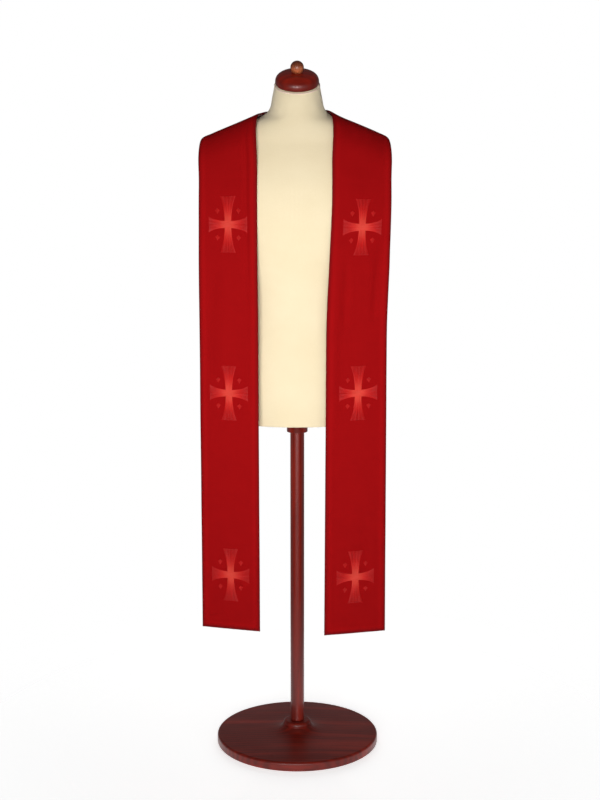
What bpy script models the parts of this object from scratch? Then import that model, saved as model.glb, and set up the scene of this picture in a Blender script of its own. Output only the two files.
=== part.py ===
"""A clerical stole laid round the shoulders of a dress form on a turned wooden stand.

Metres, +Z up. The origin is the centre of the stand's underside. The front faces -Y, so the
wearer's right is at -X; "right" and "left" in names are the wearer's.
The stole is two long interlined bands, sewn to each other at the centre back.
"""

import math

import bmesh
import bpy
import numpy as np
from mathutils import Matrix, Vector
from mathutils.bvhtree import BVHTree

# Driving dimensions, in metres, with angles in radians.
SEAM_GAP = 0.0003
REST_GAP = 0.0008
CLOTH_THICK = 0.003
FLOOR_TO_HEM = 0.318
BAND_WIDTH_AT_NECK = 0.1365

# The line over the shoulders that the bands bend across. It falls outwards at the slope, and
# the cloth swings about a pivot part way out: back in front of the line, level behind it.
SHOULDER_SLOPE = math.radians(22.0)
RIDGE_HEIGHT_AT_CENTRE = 1.5372
SWEEP_PIVOT_OUT = 0.120
SWEEP_PIVOT_BACK = 0.004
FRONT_SWEEP = math.radians(14.0)
BACK_SWEEP = math.radians(-2.0)
SWEEP_CHANGE_LENGTH = 0.16

NECK_TILT = math.radians(23.5)
CAP_RADIUS = 0.0498
CAP_HEIGHT = 0.0280
CAP_FOOT = 0.0030
CAP_SQUARENESS = 2.8
KNOB_RADIUS = 0.0153
KNOB_CENTRE = 0.0106

POLE_RADIUS = 0.0165
BASE_RADIUS = 0.195
BASE_RIM_HEIGHT = 0.022
BASE_HUB_RADIUS = 0.034
BASE_HUB_HEIGHT = 0.052
FLANGE_RADIUS = 0.062
FLANGE_HEIGHT = 0.030

# The dress form, from its flat bottom up to the top of the neck: one rounded ring for each row.
# side is how far back its two widest points lie, front and back are its depths at the centre,
# squareness is 2 for an oval and more for a flatter chest, and tilt is the share of the neck's
# forward tilt that the ring has.
FORM_RINGS = (
    # name, height, half_width, side, front, back, squareness, tilt
    ("bottom", 0.8000, 0.1580, 0.0040, -0.1060, 0.1130, 2.2, 0.0),
    ("seat", 0.8800, 0.1710, 0.0040, -0.1110, 0.1230, 2.2, 0.0),
    ("hip", 0.9650, 0.1630, 0.0020, -0.1090, 0.1120, 2.2, 0.0),
    ("waist", 1.0750, 0.1460, 0.0000, -0.1050, 0.0940, 2.2, 0.0),
    ("ribs", 1.1800, 0.1630, 0.0000, -0.1150, 0.1010, 2.4, 0.0),
    ("breast", 1.2750, 0.1810, 0.0030, -0.1215, 0.1120, 2.6, 0.0),
    ("armpit", 1.3350, 0.1920, 0.0100, -0.1165, 0.1170, 2.5, 0.0),
    ("shoulder_joint", 1.3850, 0.2020, 0.0190, -0.1035, 0.1150, 2.3, 0.0),
    ("shoulder_end", 1.4240, 0.2065, 0.0260, -0.0890, 0.1070, 2.1, 0.0),
    ("shoulder_tip", 1.4465, 0.2030, 0.0275, -0.0800, 0.0990, 2.0, 0.0),
    ("outer_ridge", 1.4601, 0.1850, 0.0205, -0.0760, 0.0930, 2.0, 0.0),
    ("middle_ridge", 1.4757, 0.1500, 0.0113, -0.0720, 0.0860, 2.0, 0.0),
    ("inner_ridge", 1.4900, 0.1110, 0.0030, -0.0690, 0.0790, 2.0, 0.0),
    ("neck_foot", 1.5020, 0.0800, -0.0040, -0.0670, 0.0710, 2.0, 0.1),
    ("neck_base", 1.5165, 0.0640, -0.0080, -0.0655, 0.0600, 2.0, 0.3),
    ("neck_middle", 1.5430, 0.0568, -0.0120, -0.0640, 0.0430, 2.0, 0.7),
    ("neck_top", 1.5740, 0.0508, -0.0150, -0.0620, 0.0320, 2.0, 1.0),
)
RINGS_BETWEEN_ROWS = 3
POINTS_ROUND = 44

# The curve that the bands bend over, seen along the shoulder: back is behind the ridge line,
# drop is below it and square to it.
SHOULDER_CURVE = (
    # name, back, drop
    ("hem", -0.1130, 1.400),
    ("waist", -0.1130, 0.500),
    ("breast", -0.1125, 0.300),
    ("upper_chest", -0.1050, 0.190),
    ("collarbone", -0.0900, 0.105),
    ("front_slope", -0.0690, 0.042),
    ("front_of_ridge", -0.0350, 0.007),
    ("ridge", 0.0000, 0.000),
    ("back_of_ridge", 0.0370, 0.006),
    ("back_slope", 0.0640, 0.021),
    ("blade_top", 0.0850, 0.046),
    ("blade", 0.1000, 0.095),
    ("back", 0.1080, 0.160),
    ("low_back", 0.1120, 0.300),
)

# How the bands steer over the shoulder: along is measured up the band from the ridge, turn is
# the angle from the square-over direction towards the neck, and flare widens the outer edge.
BAND_COURSE = (
    # name, along, turn, flare
    ("hem", -1.300, 22.0, 0.000),
    ("breast", -0.300, 22.0, 0.000),
    ("collarbone", -0.160, 19.5, 0.002),
    ("front_slope", -0.090, 13.5, 0.006),
    ("ridge", 0.000, 2.0, 0.007),
    ("behind_ridge", 0.055, 22.0, 0.004),
    ("behind_neck", 0.120, 40.0, 0.000),
    ("seam", 0.250, 52.0, 0.000),
)
COURSE_STEP = 0.002
RIDGE_CENTRE_OUT = 0.1377
STOLE_OFF_CENTRE = -0.005
PAST_SEAM = 0.006

# What differs between the two bands as they hang: the width at the hem, how much lower the hem
# is, how far the band steps inwards over the breast, and how far its outer edge turns back.
HANGING = {
    "right": {"side": -1, "hem_width": 0.141, "lower": 0.000, "inwards": 0.002, "twist": 1.5},
    "left": {"side": 1, "hem_width": 0.149, "lower": 0.010, "inwards": 0.012, "twist": 0.0},
}
BREAST_STEP_START = -0.17
BREAST_STEP_LENGTH = 0.36
HANG_START = -0.25
HANG_EASE = 0.10
HANG_LENGTH = 0.92

# Soft waves of the hanging cloth: each row is one wave across both layers.
HANGING_WAVES = (
    # name, centre below the breast, half_length, depth
    ("under_breast", 0.16, 0.14, 0.0018),
    ("middle", 0.46, 0.17, -0.0014),
    ("above_hem", 0.78, 0.15, 0.0018),
)
EDGE_CURL = 0.0010

# How finely the bands are divided: even rows while they hang, closer ones over the shoulder.
BAND_COLUMNS = 9
HANGING_ROWS = 24
BEND_START = -0.30
RIDGE_PASSED = 0.045
SHOULDER_ROW = 0.0105
LIFTING_PASSES = 5


def clear_scene():
    for thing in list(bpy.data.objects):
        bpy.data.objects.remove(thing, do_unlink=True)


def make_collection(name):
    made = bpy.data.collections.new(name)
    bpy.context.scene.collection.children.link(made)
    return made


def make_material(name, colour, roughness, coat=0.0):
    material = bpy.data.materials.new(name)
    material.use_nodes = True
    shader = material.node_tree.nodes["Principled BSDF"]
    shader.inputs["Base Color"].default_value = (*colour, 1.0)
    shader.inputs["Roughness"].default_value = roughness
    shader.inputs["Metallic"].default_value = 0.0
    shader.inputs["Coat Weight"].default_value = coat
    return material


def add_object(name, mesh, collection, material):
    thing = bpy.data.objects.new(name, mesh)
    collection.objects.link(thing)
    mesh.materials.append(material)
    return thing


def move_to(thing, collection):
    for holder in list(thing.users_collection):
        holder.objects.unlink(thing)
    collection.objects.link(thing)


def smooth_curve(knots, steps):
    """A centripetal Catmull-Rom curve through the knots, with steps points in each span."""
    points = np.asarray(knots, float)
    padded = np.vstack([2 * points[0] - points[1], points, 2 * points[-1] - points[-2]])
    gaps = np.sqrt(np.linalg.norm(np.diff(padded, axis=0), axis=1))
    made = []
    for i in range(1, len(padded) - 2):
        before, start, end, after = padded[i - 1 : i + 3]
        a, b, c = gaps[i - 1 : i + 2]
        leaving = (start - before) / a - (end - before) / (a + b) + (end - start) / b
        arriving = (end - start) / b - (after - start) / (b + c) + (after - end) / c
        for k in range(steps):
            u = k / steps
            made.append(
                (2 * u**3 - 3 * u**2 + 1) * start
                + (u**3 - 2 * u**2 + u) * b * leaving
                + (3 * u**2 - 2 * u**3) * end
                + (u**3 - u**2) * b * arriving
            )
    made.append(points[-1])
    return np.array(made)


def ease(value):
    """0 to 1 with no slope at either end."""
    value = np.clip(value, 0.0, 1.0)
    return value * value * (3 - 2 * value)


# ---------------------------------------------------------------- the dress form


def form_ring(row):
    """The points of one ring, from the wearer's left side round by the back."""
    height, half_width, side, front, back, squareness, tilt = row
    ring = []
    for k in range(POINTS_ROUND):
        angle = 2 * math.pi * k / POINTS_ROUND
        across = math.copysign(abs(math.cos(angle)) ** (2 / squareness), math.cos(angle))
        deep = math.copysign(abs(math.sin(angle)) ** (2 / squareness), math.sin(angle))
        y = side + deep * (back - side if deep > 0 else side - front)
        lift = (y - side) * math.tan(NECK_TILT * tilt)
        ring.append(Vector((half_width * across, y, height + lift)))
    return ring


def build_form(collection, material):
    rows = smooth_curve([row[1:] for row in FORM_RINGS], RINGS_BETWEEN_ROWS)
    mesh = bpy.data.meshes.new("dress_form")
    shape = bmesh.new()
    rings = [[shape.verts.new(point) for point in form_ring(row)] for row in rows]
    for lower, upper in zip(rings, rings[1:]):
        for k in range(POINTS_ROUND):
            after = (k + 1) % POINTS_ROUND
            shape.faces.new((lower[k], lower[after], upper[after], upper[k]))
    shape.faces.new(list(reversed(rings[0])))
    shape.faces.new(rings[-1])
    shape.to_mesh(mesh)
    shape.free()
    mesh.shade_smooth()
    mesh.set_sharp_from_angle(angle=math.radians(50))
    return add_object("dress_form", mesh, collection, material)


# ---------------------------------------------------------------- the bands of the stole


def shoulder_curve():
    """(distance along it from the ridge, back, height) at close steps, from hem to low back."""
    points = smooth_curve([(back, -drop) for _, back, drop in SHOULDER_CURVE], 40)
    steps = np.linalg.norm(np.diff(points, axis=0), axis=1)
    along = np.concatenate([[0], np.cumsum(steps)])
    ridge = along[np.abs(points).sum(axis=1).argmin()]
    return along - ridge, points[:, 0], points[:, 1]


def averaged(values, reach=15):
    """Each value's mean with its neighbours, which rounds off the corners at the knots."""
    kernel = np.ones(2 * reach + 1) / (2 * reach + 1)
    return np.convolve(np.pad(values, reach, mode="edge"), kernel, mode="valid")


def band_course():
    """Where the middle of the band runs on the unrolled shoulder, at close steps.

    over is the distance over the shoulder curve, out is the distance down the ridge line.
    """
    spare = 0.1
    knots = np.array([row[1:] for row in BAND_COURSE])
    along = np.arange(knots[0, 0], knots[-1, 0] + spare, COURSE_STEP)
    turn = np.radians(averaged(np.interp(along, knots[:, 0], knots[:, 1])))
    flare = averaged(np.interp(along, knots[:, 0], knots[:, 2]))
    between = (turn[1:] + turn[:-1]) / 2
    over = np.concatenate([[0], np.cumsum(np.cos(between) * COURSE_STEP)])
    out = -np.concatenate([[0], np.cumsum(np.sin(between) * COURSE_STEP)])
    ridge = np.abs(along).argmin()
    out_at_ridge = RIDGE_CENTRE_OUT / math.cos(SHOULDER_SLOPE)
    return along, over - over[ridge], out - out[ridge] + out_at_ridge, turn, flare


class Band:
    """One band of the stole: point(along, across) is a point of its underside."""

    def __init__(self, side, hem_width, lower, inwards, twist):
        self.side = side
        self.hem_width = hem_width
        self.inwards = inwards
        self.twist = math.radians(twist)
        self.curve = shoulder_curve()
        self.course = band_course()
        self.start = self.course[0][0]
        self.end = self.course[0][-1]
        hem_height = FLOOR_TO_HEM - lower
        self.hem = halve(self.start, BEND_START, lambda s: self.laid(s, 0.5)[2] < hem_height)

    def width(self, along):
        share = (along - self.start) / (self.end - self.start)
        return self.hem_width + (BAND_WIDTH_AT_NECK - self.hem_width) * share

    def laid(self, along, across):
        """The point on the shoulder surface, before what differs from side to side."""
        stations, over, out, turn, flare = self.course
        direction = np.interp(along, stations, turn)
        offset = (across - 0.5) * self.width(along)
        offset += across * np.interp(along, stations, flare)
        past_ridge = np.interp(along, stations, over) + offset * math.sin(direction)
        down_ridge = np.interp(along, stations, out) + offset * math.cos(direction)
        back = np.interp(past_ridge, self.curve[0], self.curve[1])
        rise = np.interp(past_ridge, self.curve[0], self.curve[2])
        slope_cos, slope_sin = math.cos(SHOULDER_SLOPE), math.sin(SHOULDER_SLOPE)
        outward = down_ridge * slope_cos + rise * slope_sin - SWEEP_PIVOT_OUT
        swung = ease(past_ridge / SWEEP_CHANGE_LENGTH)
        sweep = FRONT_SWEEP + (BACK_SWEEP - FRONT_SWEEP) * swung
        x = SWEEP_PIVOT_OUT + outward * math.cos(sweep) - back * math.sin(sweep)
        y = SWEEP_PIVOT_BACK + outward * math.sin(sweep) + back * math.cos(sweep)
        z = RIDGE_HEIGHT_AT_CENTRE + rise * slope_cos - down_ridge * slope_sin
        return np.array([x, y, z])

    def point(self, along, across):
        """The point as the band hangs: waved, curled back at its edges and a little askew."""
        point = self.laid(along, across)
        below = max(0.0, HANG_START - along)
        hang = ease(below / HANG_EASE)
        share = below / HANG_LENGTH
        wave = 0.0
        for _, centre, half_length, depth in HANGING_WAVES:
            wave += depth * (1 - ease(abs(below - centre) / half_length))
        curl = EDGE_CURL * hang * (2 * across - 1) ** 2
        outward = (across - 0.5) * self.width(along)
        point[1] += wave + curl + outward * math.sin(self.twist) * share
        point[0] -= self.inwards * ease((BREAST_STEP_START - along) / BREAST_STEP_LENGTH)
        return point

    def seam_along(self, across):
        """How far along the band is when it is just over the centre line, to be cut there."""
        return halve(0.0, self.end, lambda s: self.laid(s, across)[0] > -PAST_SEAM)


def halve(low, high, is_low):
    """The place between low and high where is_low turns from true to false."""
    for _ in range(40):
        middle = (low + high) / 2
        if is_low(middle):
            low = middle
        else:
            high = middle
    return (low + high) / 2


def band_grid(band):
    """Rows of underside points from the hem to just past the centre-back seam."""
    hanging = np.linspace(band.hem, BEND_START, HANGING_ROWS)
    bend = np.arange(BEND_START, RIDGE_PASSED, SHOULDER_ROW)[1:]
    across = np.linspace(0, 1, BAND_COLUMNS + 1)
    rows = [[band.point(s, a) for a in across] for s in np.concatenate([hanging, bend])]
    ends = [band.seam_along(a) for a in across]
    start = bend[-1]
    last = math.ceil((max(ends) - start) / SHOULDER_ROW)
    for k in range(1, last + 1):
        share = k / last
        rows.append(
            [band.point(start + (end - start) * share, a) for a, end in zip(across, ends)]
        )
    rows = np.array(rows)
    rows[:, :, 0] = rows[:, :, 0] * band.side + STOLE_OFF_CENTRE
    return rows


def lay_on_form(rows, form):
    """Lifts the band wherever it is too near the form, or inside it, clear of its surface.

    The middles of the cells and of their sides are tested as well as the corners, and what
    they lack is given to the corners round them, so the flat cells clear the form's edges too.
    """
    bpy.context.view_layer.update()
    surface = BVHTree.FromObject(form, bpy.context.evaluated_depsgraph_get())
    tests = [((0, 0),), ((0, 0), (1, 0)), ((0, 0), (0, 1)), ((0, 0), (1, 1)), ((0, 1), (1, 0))]
    for _ in range(LIFTING_PASSES):
        lift = np.zeros_like(rows)
        for corners in tests:
            for i in range(len(rows) - max(step[0] for step in corners)):
                for j in range(BAND_COLUMNS + 1 - max(step[1] for step in corners)):
                    cells = [(i + down, j + right) for down, right in corners]
                    middle = Vector(sum(rows[cell] for cell in cells) / len(cells))
                    place, normal, _, _ = surface.find_nearest(middle)
                    lack = REST_GAP - (middle - place).dot(normal)
                    if lack > 0:
                        push = np.array(normal) * lack
                        for cell in cells:
                            if np.linalg.norm(lift[cell]) < lack:
                                lift[cell] = push
        rows += spread(lift)
    return rows


def spread(lift):
    """Each lift as the mean of the greatest ones round it, so the cloth bulges smoothly."""
    size = np.linalg.norm(lift, axis=2)
    tall, wide = size.shape
    greatest = np.zeros_like(lift)
    for i in range(tall):
        for j in range(wide):
            near = size[max(i - 1, 0) : i + 2, max(j - 1, 0) : j + 2]
            down, right = np.unravel_index(near.argmax(), near.shape)
            greatest[i, j] = lift[max(i - 1, 0) + down, max(j - 1, 0) + right]
    padded = np.pad(greatest, ((1, 1), (1, 1), (0, 0)), mode="edge")
    return sum(padded[i : i + tall, j : j + wide] for i in range(3) for j in range(3)) / 9


def build_seam_cutter(side, collection):
    """The space on the far side of the centre-back seam, which a band is cut off against."""
    deep, wide, tall = 0.05, 0.4, 0.6
    bpy.ops.mesh.primitive_cube_add(size=1.0)
    cutter = bpy.context.object
    cutter.name = "seam_cutter_right" if side < 0 else "seam_cutter_left"
    move_to(cutter, collection)
    cutter.data.transform(Matrix.Diagonal((deep, wide, tall, 1.0)))
    cutter.location = (STOLE_OFF_CENTRE + side * (SEAM_GAP - deep) / 2, 0.0, FORM_RINGS[-1][1])
    cutter.hide_render = True
    cutter.display_type = "WIRE"
    return cutter


def build_band(name, options, form, collection, cutters, material):
    band = Band(**options)
    rows = lay_on_form(band_grid(band), form)
    mesh = bpy.data.meshes.new(name)
    shape = bmesh.new()
    grid = [[shape.verts.new(point) for point in row] for row in rows]
    for lower, upper in zip(grid, grid[1:]):
        for k in range(BAND_COLUMNS):
            face = (lower[k], lower[k + 1], upper[k + 1], upper[k])
            shape.faces.new(face if band.side > 0 else tuple(reversed(face)))
    shape.to_mesh(mesh)
    shape.free()
    mesh.shade_smooth()
    made = add_object(name, mesh, collection, material)
    wall = made.modifiers.new("cloth_thickness", "SOLIDIFY")
    wall.thickness = CLOTH_THICK
    wall.offset = 1.0
    wall.use_even_offset = True
    cut = made.modifiers.new("centre_back_seam", "BOOLEAN")
    cut.operation = "DIFFERENCE"
    cut.object = build_seam_cutter(band.side, cutters)
    return made


# ---------------------------------------------------------------- turned wooden pieces


def arc(centre, radius, start, end, steps):
    """Points on an arc, angles in degrees from +X towards +Z."""
    angles = np.radians(np.linspace(start, end, steps + 1))
    return [(centre[0] + radius * math.cos(a), centre[1] + radius * math.sin(a)) for a in angles]


def build_turned(name, profile, segments, collection, material):
    """A turned piece: the profile runs from the top of the axis down its outer side."""
    mesh = bpy.data.meshes.new(name)
    edges = [(i, i + 1) for i in range(len(profile) - 1)]
    mesh.from_pydata([(x, 0.0, z) for x, z in profile], edges, [])
    made = add_object(name, mesh, collection, material)
    turn = made.modifiers.new("turning", "SCREW")
    turn.angle = 2 * math.pi
    turn.steps = segments
    turn.render_steps = segments
    turn.use_merge_vertices = True
    turn.merge_threshold = 0.00005
    turn.use_smooth_shade = True
    return made


def build_cap(parent, collection, material):
    """A flattened dome on a short foot: its outline is an oval with squarer shoulders."""
    dome = CAP_HEIGHT - CAP_FOOT
    power = 2 / CAP_SQUARENESS
    profile = [(0.0, CAP_HEIGHT)]
    for a in np.radians(np.linspace(80, 0, 9)):
        profile.append((CAP_RADIUS * math.cos(a) ** power, CAP_FOOT + dome * math.sin(a) ** power))
    profile += arc((CAP_RADIUS - CAP_FOOT, CAP_FOOT), CAP_FOOT, -30, -90, 2)
    profile += [(0.0, 0.0)]
    cap = build_turned("neck_cap", profile, 40, collection, material)
    cap.parent = parent
    cap.location = (0.0, 0.0, SEAM_GAP)
    return cap


def build_knob(parent, collection, material):
    """A ball that is cut flat below."""
    cut = -math.degrees(math.asin(KNOB_CENTRE / KNOB_RADIUS))
    profile = arc((0.0, KNOB_CENTRE), KNOB_RADIUS, 90, cut, 9)
    profile[0] = (0.0, profile[0][1])
    profile += [(0.0, 0.0)]
    knob = build_turned("cap_knob", profile, 28, collection, material)
    knob.parent = parent
    knob.location = (0.0, 0.0, CAP_HEIGHT + 2 * SEAM_GAP)
    return knob


def build_base(collection, material):
    """A dished disc that rises from its rim to a short hub round the pole's foot."""
    rim_edge = 0.006
    foot_edge = 0.003
    hub_edge = 0.008
    hub_foot = (BASE_HUB_RADIUS + 0.012, BASE_RIM_HEIGHT + 0.009)
    hub_side = (BASE_HUB_RADIUS, BASE_RIM_HEIGHT + 0.018)
    rim_inside = (BASE_RADIUS - 0.045, BASE_RIM_HEIGHT + 0.002)
    hub_top = BASE_HUB_RADIUS - hub_edge
    profile = [(0.0, BASE_HUB_HEIGHT), (hub_top, BASE_HUB_HEIGHT)]
    profile += arc((hub_top, BASE_HUB_HEIGHT - hub_edge), hub_edge, 60, 0, 3)
    profile += [hub_side, hub_foot, rim_inside]
    profile += arc((BASE_RADIUS - rim_edge, BASE_RIM_HEIGHT - rim_edge), rim_edge, 90, 0, 3)
    profile += [(BASE_RADIUS, foot_edge), (BASE_RADIUS - foot_edge, 0.0), (0.0, 0.0)]
    return build_turned("stand_base", profile, 48, collection, material)


def build_flange(top, collection, material):
    """A plate under the form with a boss that the pole stands in, seen only from below."""
    plate_thick = 0.008
    boss = POLE_RADIUS + 0.008
    shoulder = (boss + 0.006, -0.012)
    boss_top = (boss, -0.018)
    profile = [(0.0, 0.0), (FLANGE_RADIUS, 0.0), (FLANGE_RADIUS, -plate_thick)]
    profile += [shoulder, boss_top, (boss, -FLANGE_HEIGHT), (0.0, -FLANGE_HEIGHT)]
    flange = build_turned("pole_flange", profile, 36, collection, material)
    flange.location = (0.0, 0.0, top)
    return flange


def build_pole(bottom, top, collection, material):
    bpy.ops.mesh.primitive_cylinder_add(
        vertices=32, radius=POLE_RADIUS, depth=top - bottom, location=(0, 0, (top + bottom) / 2)
    )
    pole = bpy.context.object
    pole.name = "stand_pole"
    move_to(pole, collection)
    pole.data.materials.append(material)
    pole.data.shade_smooth()
    pole.data.set_sharp_from_angle(angle=math.radians(40))
    return pole


def build_neck_frame(collection):
    """An empty on the middle of the neck's tilted top, which carries the cap and its knob."""
    _, height, _, side, front, back, _, _ = FORM_RINGS[-1]
    frame = bpy.data.objects.new("neck_top_frame", None)
    collection.objects.link(frame)
    middle = (front + back) / 2
    frame.location = (0.0, middle, height + (middle - side) * math.tan(NECK_TILT))
    frame.rotation_euler = (NECK_TILT, 0.0, 0.0)
    return frame


def main():
    clear_scene()
    parts = make_collection("stole_on_dress_form")
    cutters = make_collection("cutters")
    red_cloth = make_material("red_wool_cloth", (0.38, 0.006, 0.008), 0.85)
    jersey = make_material("cream_jersey", (0.80, 0.72, 0.55), 0.9)
    dark_wood = make_material("dark_red_wood", (0.13, 0.018, 0.010), 0.25, coat=0.6)
    light_wood = make_material("light_brown_wood", (0.36, 0.105, 0.035), 0.3, coat=0.5)

    form = build_form(parts, jersey)
    for side in ("right", "left"):
        build_band(f"{side}_band", HANGING[side], form, parts, cutters, red_cloth)

    neck_frame = build_neck_frame(parts)
    build_cap(neck_frame, parts, dark_wood)
    build_knob(neck_frame, parts, light_wood)

    flange_top = FORM_RINGS[0][1] - SEAM_GAP
    build_flange(flange_top, parts, dark_wood)
    pole_top = flange_top - FLANGE_HEIGHT - SEAM_GAP
    build_pole(BASE_HUB_HEIGHT + SEAM_GAP, pole_top, parts, dark_wood)
    build_base(parts, dark_wood)


main()
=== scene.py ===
# %% [markdown]
# # A clerical stole on a dress form
#
# A stole is a long band of cloth that a minister wears round the neck. This one is sewn from
# two halves, joined at the centre back, and it lies on a limbless dress form with both ends
# hanging in front. The packed model gives the sizes and the places. This script gives the
# looks: cloth with a weave and rolled edges, embroidery made of real stitches, a knitted cover
# with seams, and turned, polished wood.
#
# Everything is in metres with +Z up. The front faces -Y, so the wearer's right hand is at -X,
# and "right" and "left" always mean the wearer's.

import math

import bmesh
import bpy
import numpy as np
from mathutils import Euler, Matrix, Vector, noise
from mathutils.bvhtree import BVHTree


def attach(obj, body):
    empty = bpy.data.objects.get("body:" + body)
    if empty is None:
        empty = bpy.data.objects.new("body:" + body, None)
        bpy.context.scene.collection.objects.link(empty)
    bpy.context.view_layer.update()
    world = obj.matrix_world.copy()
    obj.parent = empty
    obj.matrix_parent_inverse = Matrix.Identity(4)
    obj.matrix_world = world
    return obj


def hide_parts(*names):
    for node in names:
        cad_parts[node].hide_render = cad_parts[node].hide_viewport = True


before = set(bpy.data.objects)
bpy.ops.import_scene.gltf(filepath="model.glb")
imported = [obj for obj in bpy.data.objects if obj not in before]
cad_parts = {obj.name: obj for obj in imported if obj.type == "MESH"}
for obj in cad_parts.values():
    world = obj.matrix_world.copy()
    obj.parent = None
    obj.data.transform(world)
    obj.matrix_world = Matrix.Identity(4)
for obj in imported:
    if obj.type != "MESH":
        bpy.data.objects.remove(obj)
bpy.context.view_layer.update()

# %% [markdown]
# ## The camera
#
# The camera comes first, because every later choice is judged through it. It stands a little
# under four metres away, at about the height of the neck, and looks slightly down. A long lens
# keeps the two bands nearly parallel. The focal length is worked out from how many pixels one
# radian takes in a frame 800 pixels tall, so the lens is right whatever the sensor.
#
# The Standard view is used instead of a filmic one, which would grey a saturated red. So the
# colours below are the cloth's own, and a white floor can look white.

# %% Place the camera
FRAME_HEIGHT = 800
FOCAL_PIXELS = 1565
SENSOR = 36.0
CAMERA_PLACE = (0.0065, -3.62, 1.52)
CAMERA_PITCH = math.radians(-10.56)


def place_camera():
    lens = bpy.data.cameras.new("camera")
    lens.sensor_width = SENSOR
    lens.lens = SENSOR * FOCAL_PIXELS / FRAME_HEIGHT
    camera = bpy.data.objects.new("camera", lens)
    camera.location = CAMERA_PLACE
    camera.rotation_euler = (math.radians(90) + CAMERA_PITCH, 0, 0)
    bpy.context.scene.collection.objects.link(camera)
    bpy.context.scene.camera = camera
    bpy.context.scene.view_settings.view_transform = "Standard"
    return camera


print("lens", round(place_camera().data.lens, 1), "mm")

# %% [markdown]
# ## Writing nodes as sums
#
# Shader and geometry nodes are small sums: distances, waves, masks. Drawn as a graph, a sum of
# ten terms is a tangle. So one class wraps an output socket and overloads Python's operators.
# With it, `1 - mask * 0.4` adds two Math nodes and wires them.

# %% Sockets that can be added and multiplied


class Signal:
    """A value that varies over a surface or from point to point: one output of a node."""

    def __init__(self, tree, socket):
        self.tree = tree
        self.socket = socket

    def other(self, name):
        """Another output of the same node."""
        return Signal(self.tree, self.socket.node.outputs[name])

    def __add__(self, value):
        return self.tree.maths("ADD", self, value)

    def __sub__(self, value):
        return self.tree.maths("SUBTRACT", self, value)

    def __mul__(self, value):
        return self.tree.maths("MULTIPLY", self, value)

    def __truediv__(self, value):
        return self.tree.maths("DIVIDE", self, value)

    def __pow__(self, value):
        return self.tree.maths("POWER", self, value)

    def __abs__(self):
        return self.tree.maths("ABSOLUTE", self)

    def __rsub__(self, value):
        return self.tree.maths("SUBTRACT", value, self)

    def __rtruediv__(self, value):
        return self.tree.maths("DIVIDE", value, self)

    __radd__ = __add__
    __rmul__ = __mul__


print("sockets can be added, subtracted, multiplied, divided and raised to a power")

# %% [markdown]
# A second class owns the tree. One of its methods adds any node: it sets the node's settings
# first, because they can change which sockets it has, and then fills or links the sockets. The
# others are short names for the few nodes that are used again and again.

# %% The class for a tree


class Tree:
    """A node tree, with one way to add any node."""

    def __init__(self, tree):
        self.tree = tree

    def node(self, kind, settings=None, inputs=None, output=0):
        """Adds a node. inputs maps a socket's name or number to a value or a Signal."""
        made = self.tree.nodes.new(kind)
        for name, value in (settings or {}).items():
            if name == "stops":
                self.set_stops(made.color_ramp, value)
            else:
                setattr(made, name, value)
        for key, value in (inputs or {}).items():
            if isinstance(value, Signal):
                self.tree.links.new(value.socket, made.inputs[key])
            else:
                made.inputs[key].default_value = value
        return Signal(self, made.outputs[output])

    @staticmethod
    def set_stops(ramp, stops):
        while len(ramp.elements) < len(stops):
            ramp.elements.new(1.0)
        for element, (place, tint) in zip(ramp.elements, stops):
            element.position = place
            element.color = (*tint, 1.0)

    def maths(self, operation, *values):
        return self.node("ShaderNodeMath", {"operation": operation}, dict(enumerate(values)))

    def vectors(self, operation, *values, **named):
        inputs = dict(enumerate(values)) | named
        return self.node("ShaderNodeVectorMath", {"operation": operation}, inputs)

    def separate(self, vector):
        """The three numbers of a vector."""
        x = self.node("ShaderNodeSeparateXYZ", {}, {0: vector})
        return x, x.other("Y"), x.other("Z")

    def combine(self, x, y, z=0.0):
        return self.node("ShaderNodeCombineXYZ", {}, {0: x, 1: y, 2: z})

    def between(self, value, low, high):
        """0 below low and 1 above high, easing between them."""
        inputs = {"Value": value, "From Min": low, "From Max": high}
        return self.node("ShaderNodeMapRange", {"interpolation_type": "SMOOTHSTEP"}, inputs)


print("short names for nodes:", [name for name in vars(Tree) if name[0] != "_"])

# %% [markdown]
# ## A finish
#
# A finish is one material. What is the same all over, such as the clear coat's own roughness,
# is set on the shader's socket. What varies reaches the shader as a link: the colour, the
# roughness, and the relief through a Bump node. Colours are mixed with the Mix node, because a
# Math node would turn them grey. Real colours are easier to read as the 0 to 255 numbers of a
# screen, so a helper turns those into the linear light that the shader wants.

# %% The class for a material


def colour(red, green, blue):
    """Linear light from screen numbers of 0 to 255."""
    shares = [x / 255 for x in (red, green, blue)]
    return tuple(x / 12.92 if x <= 0.04045 else ((x + 0.055) / 1.055) ** 2.4 for x in shares)


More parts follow.
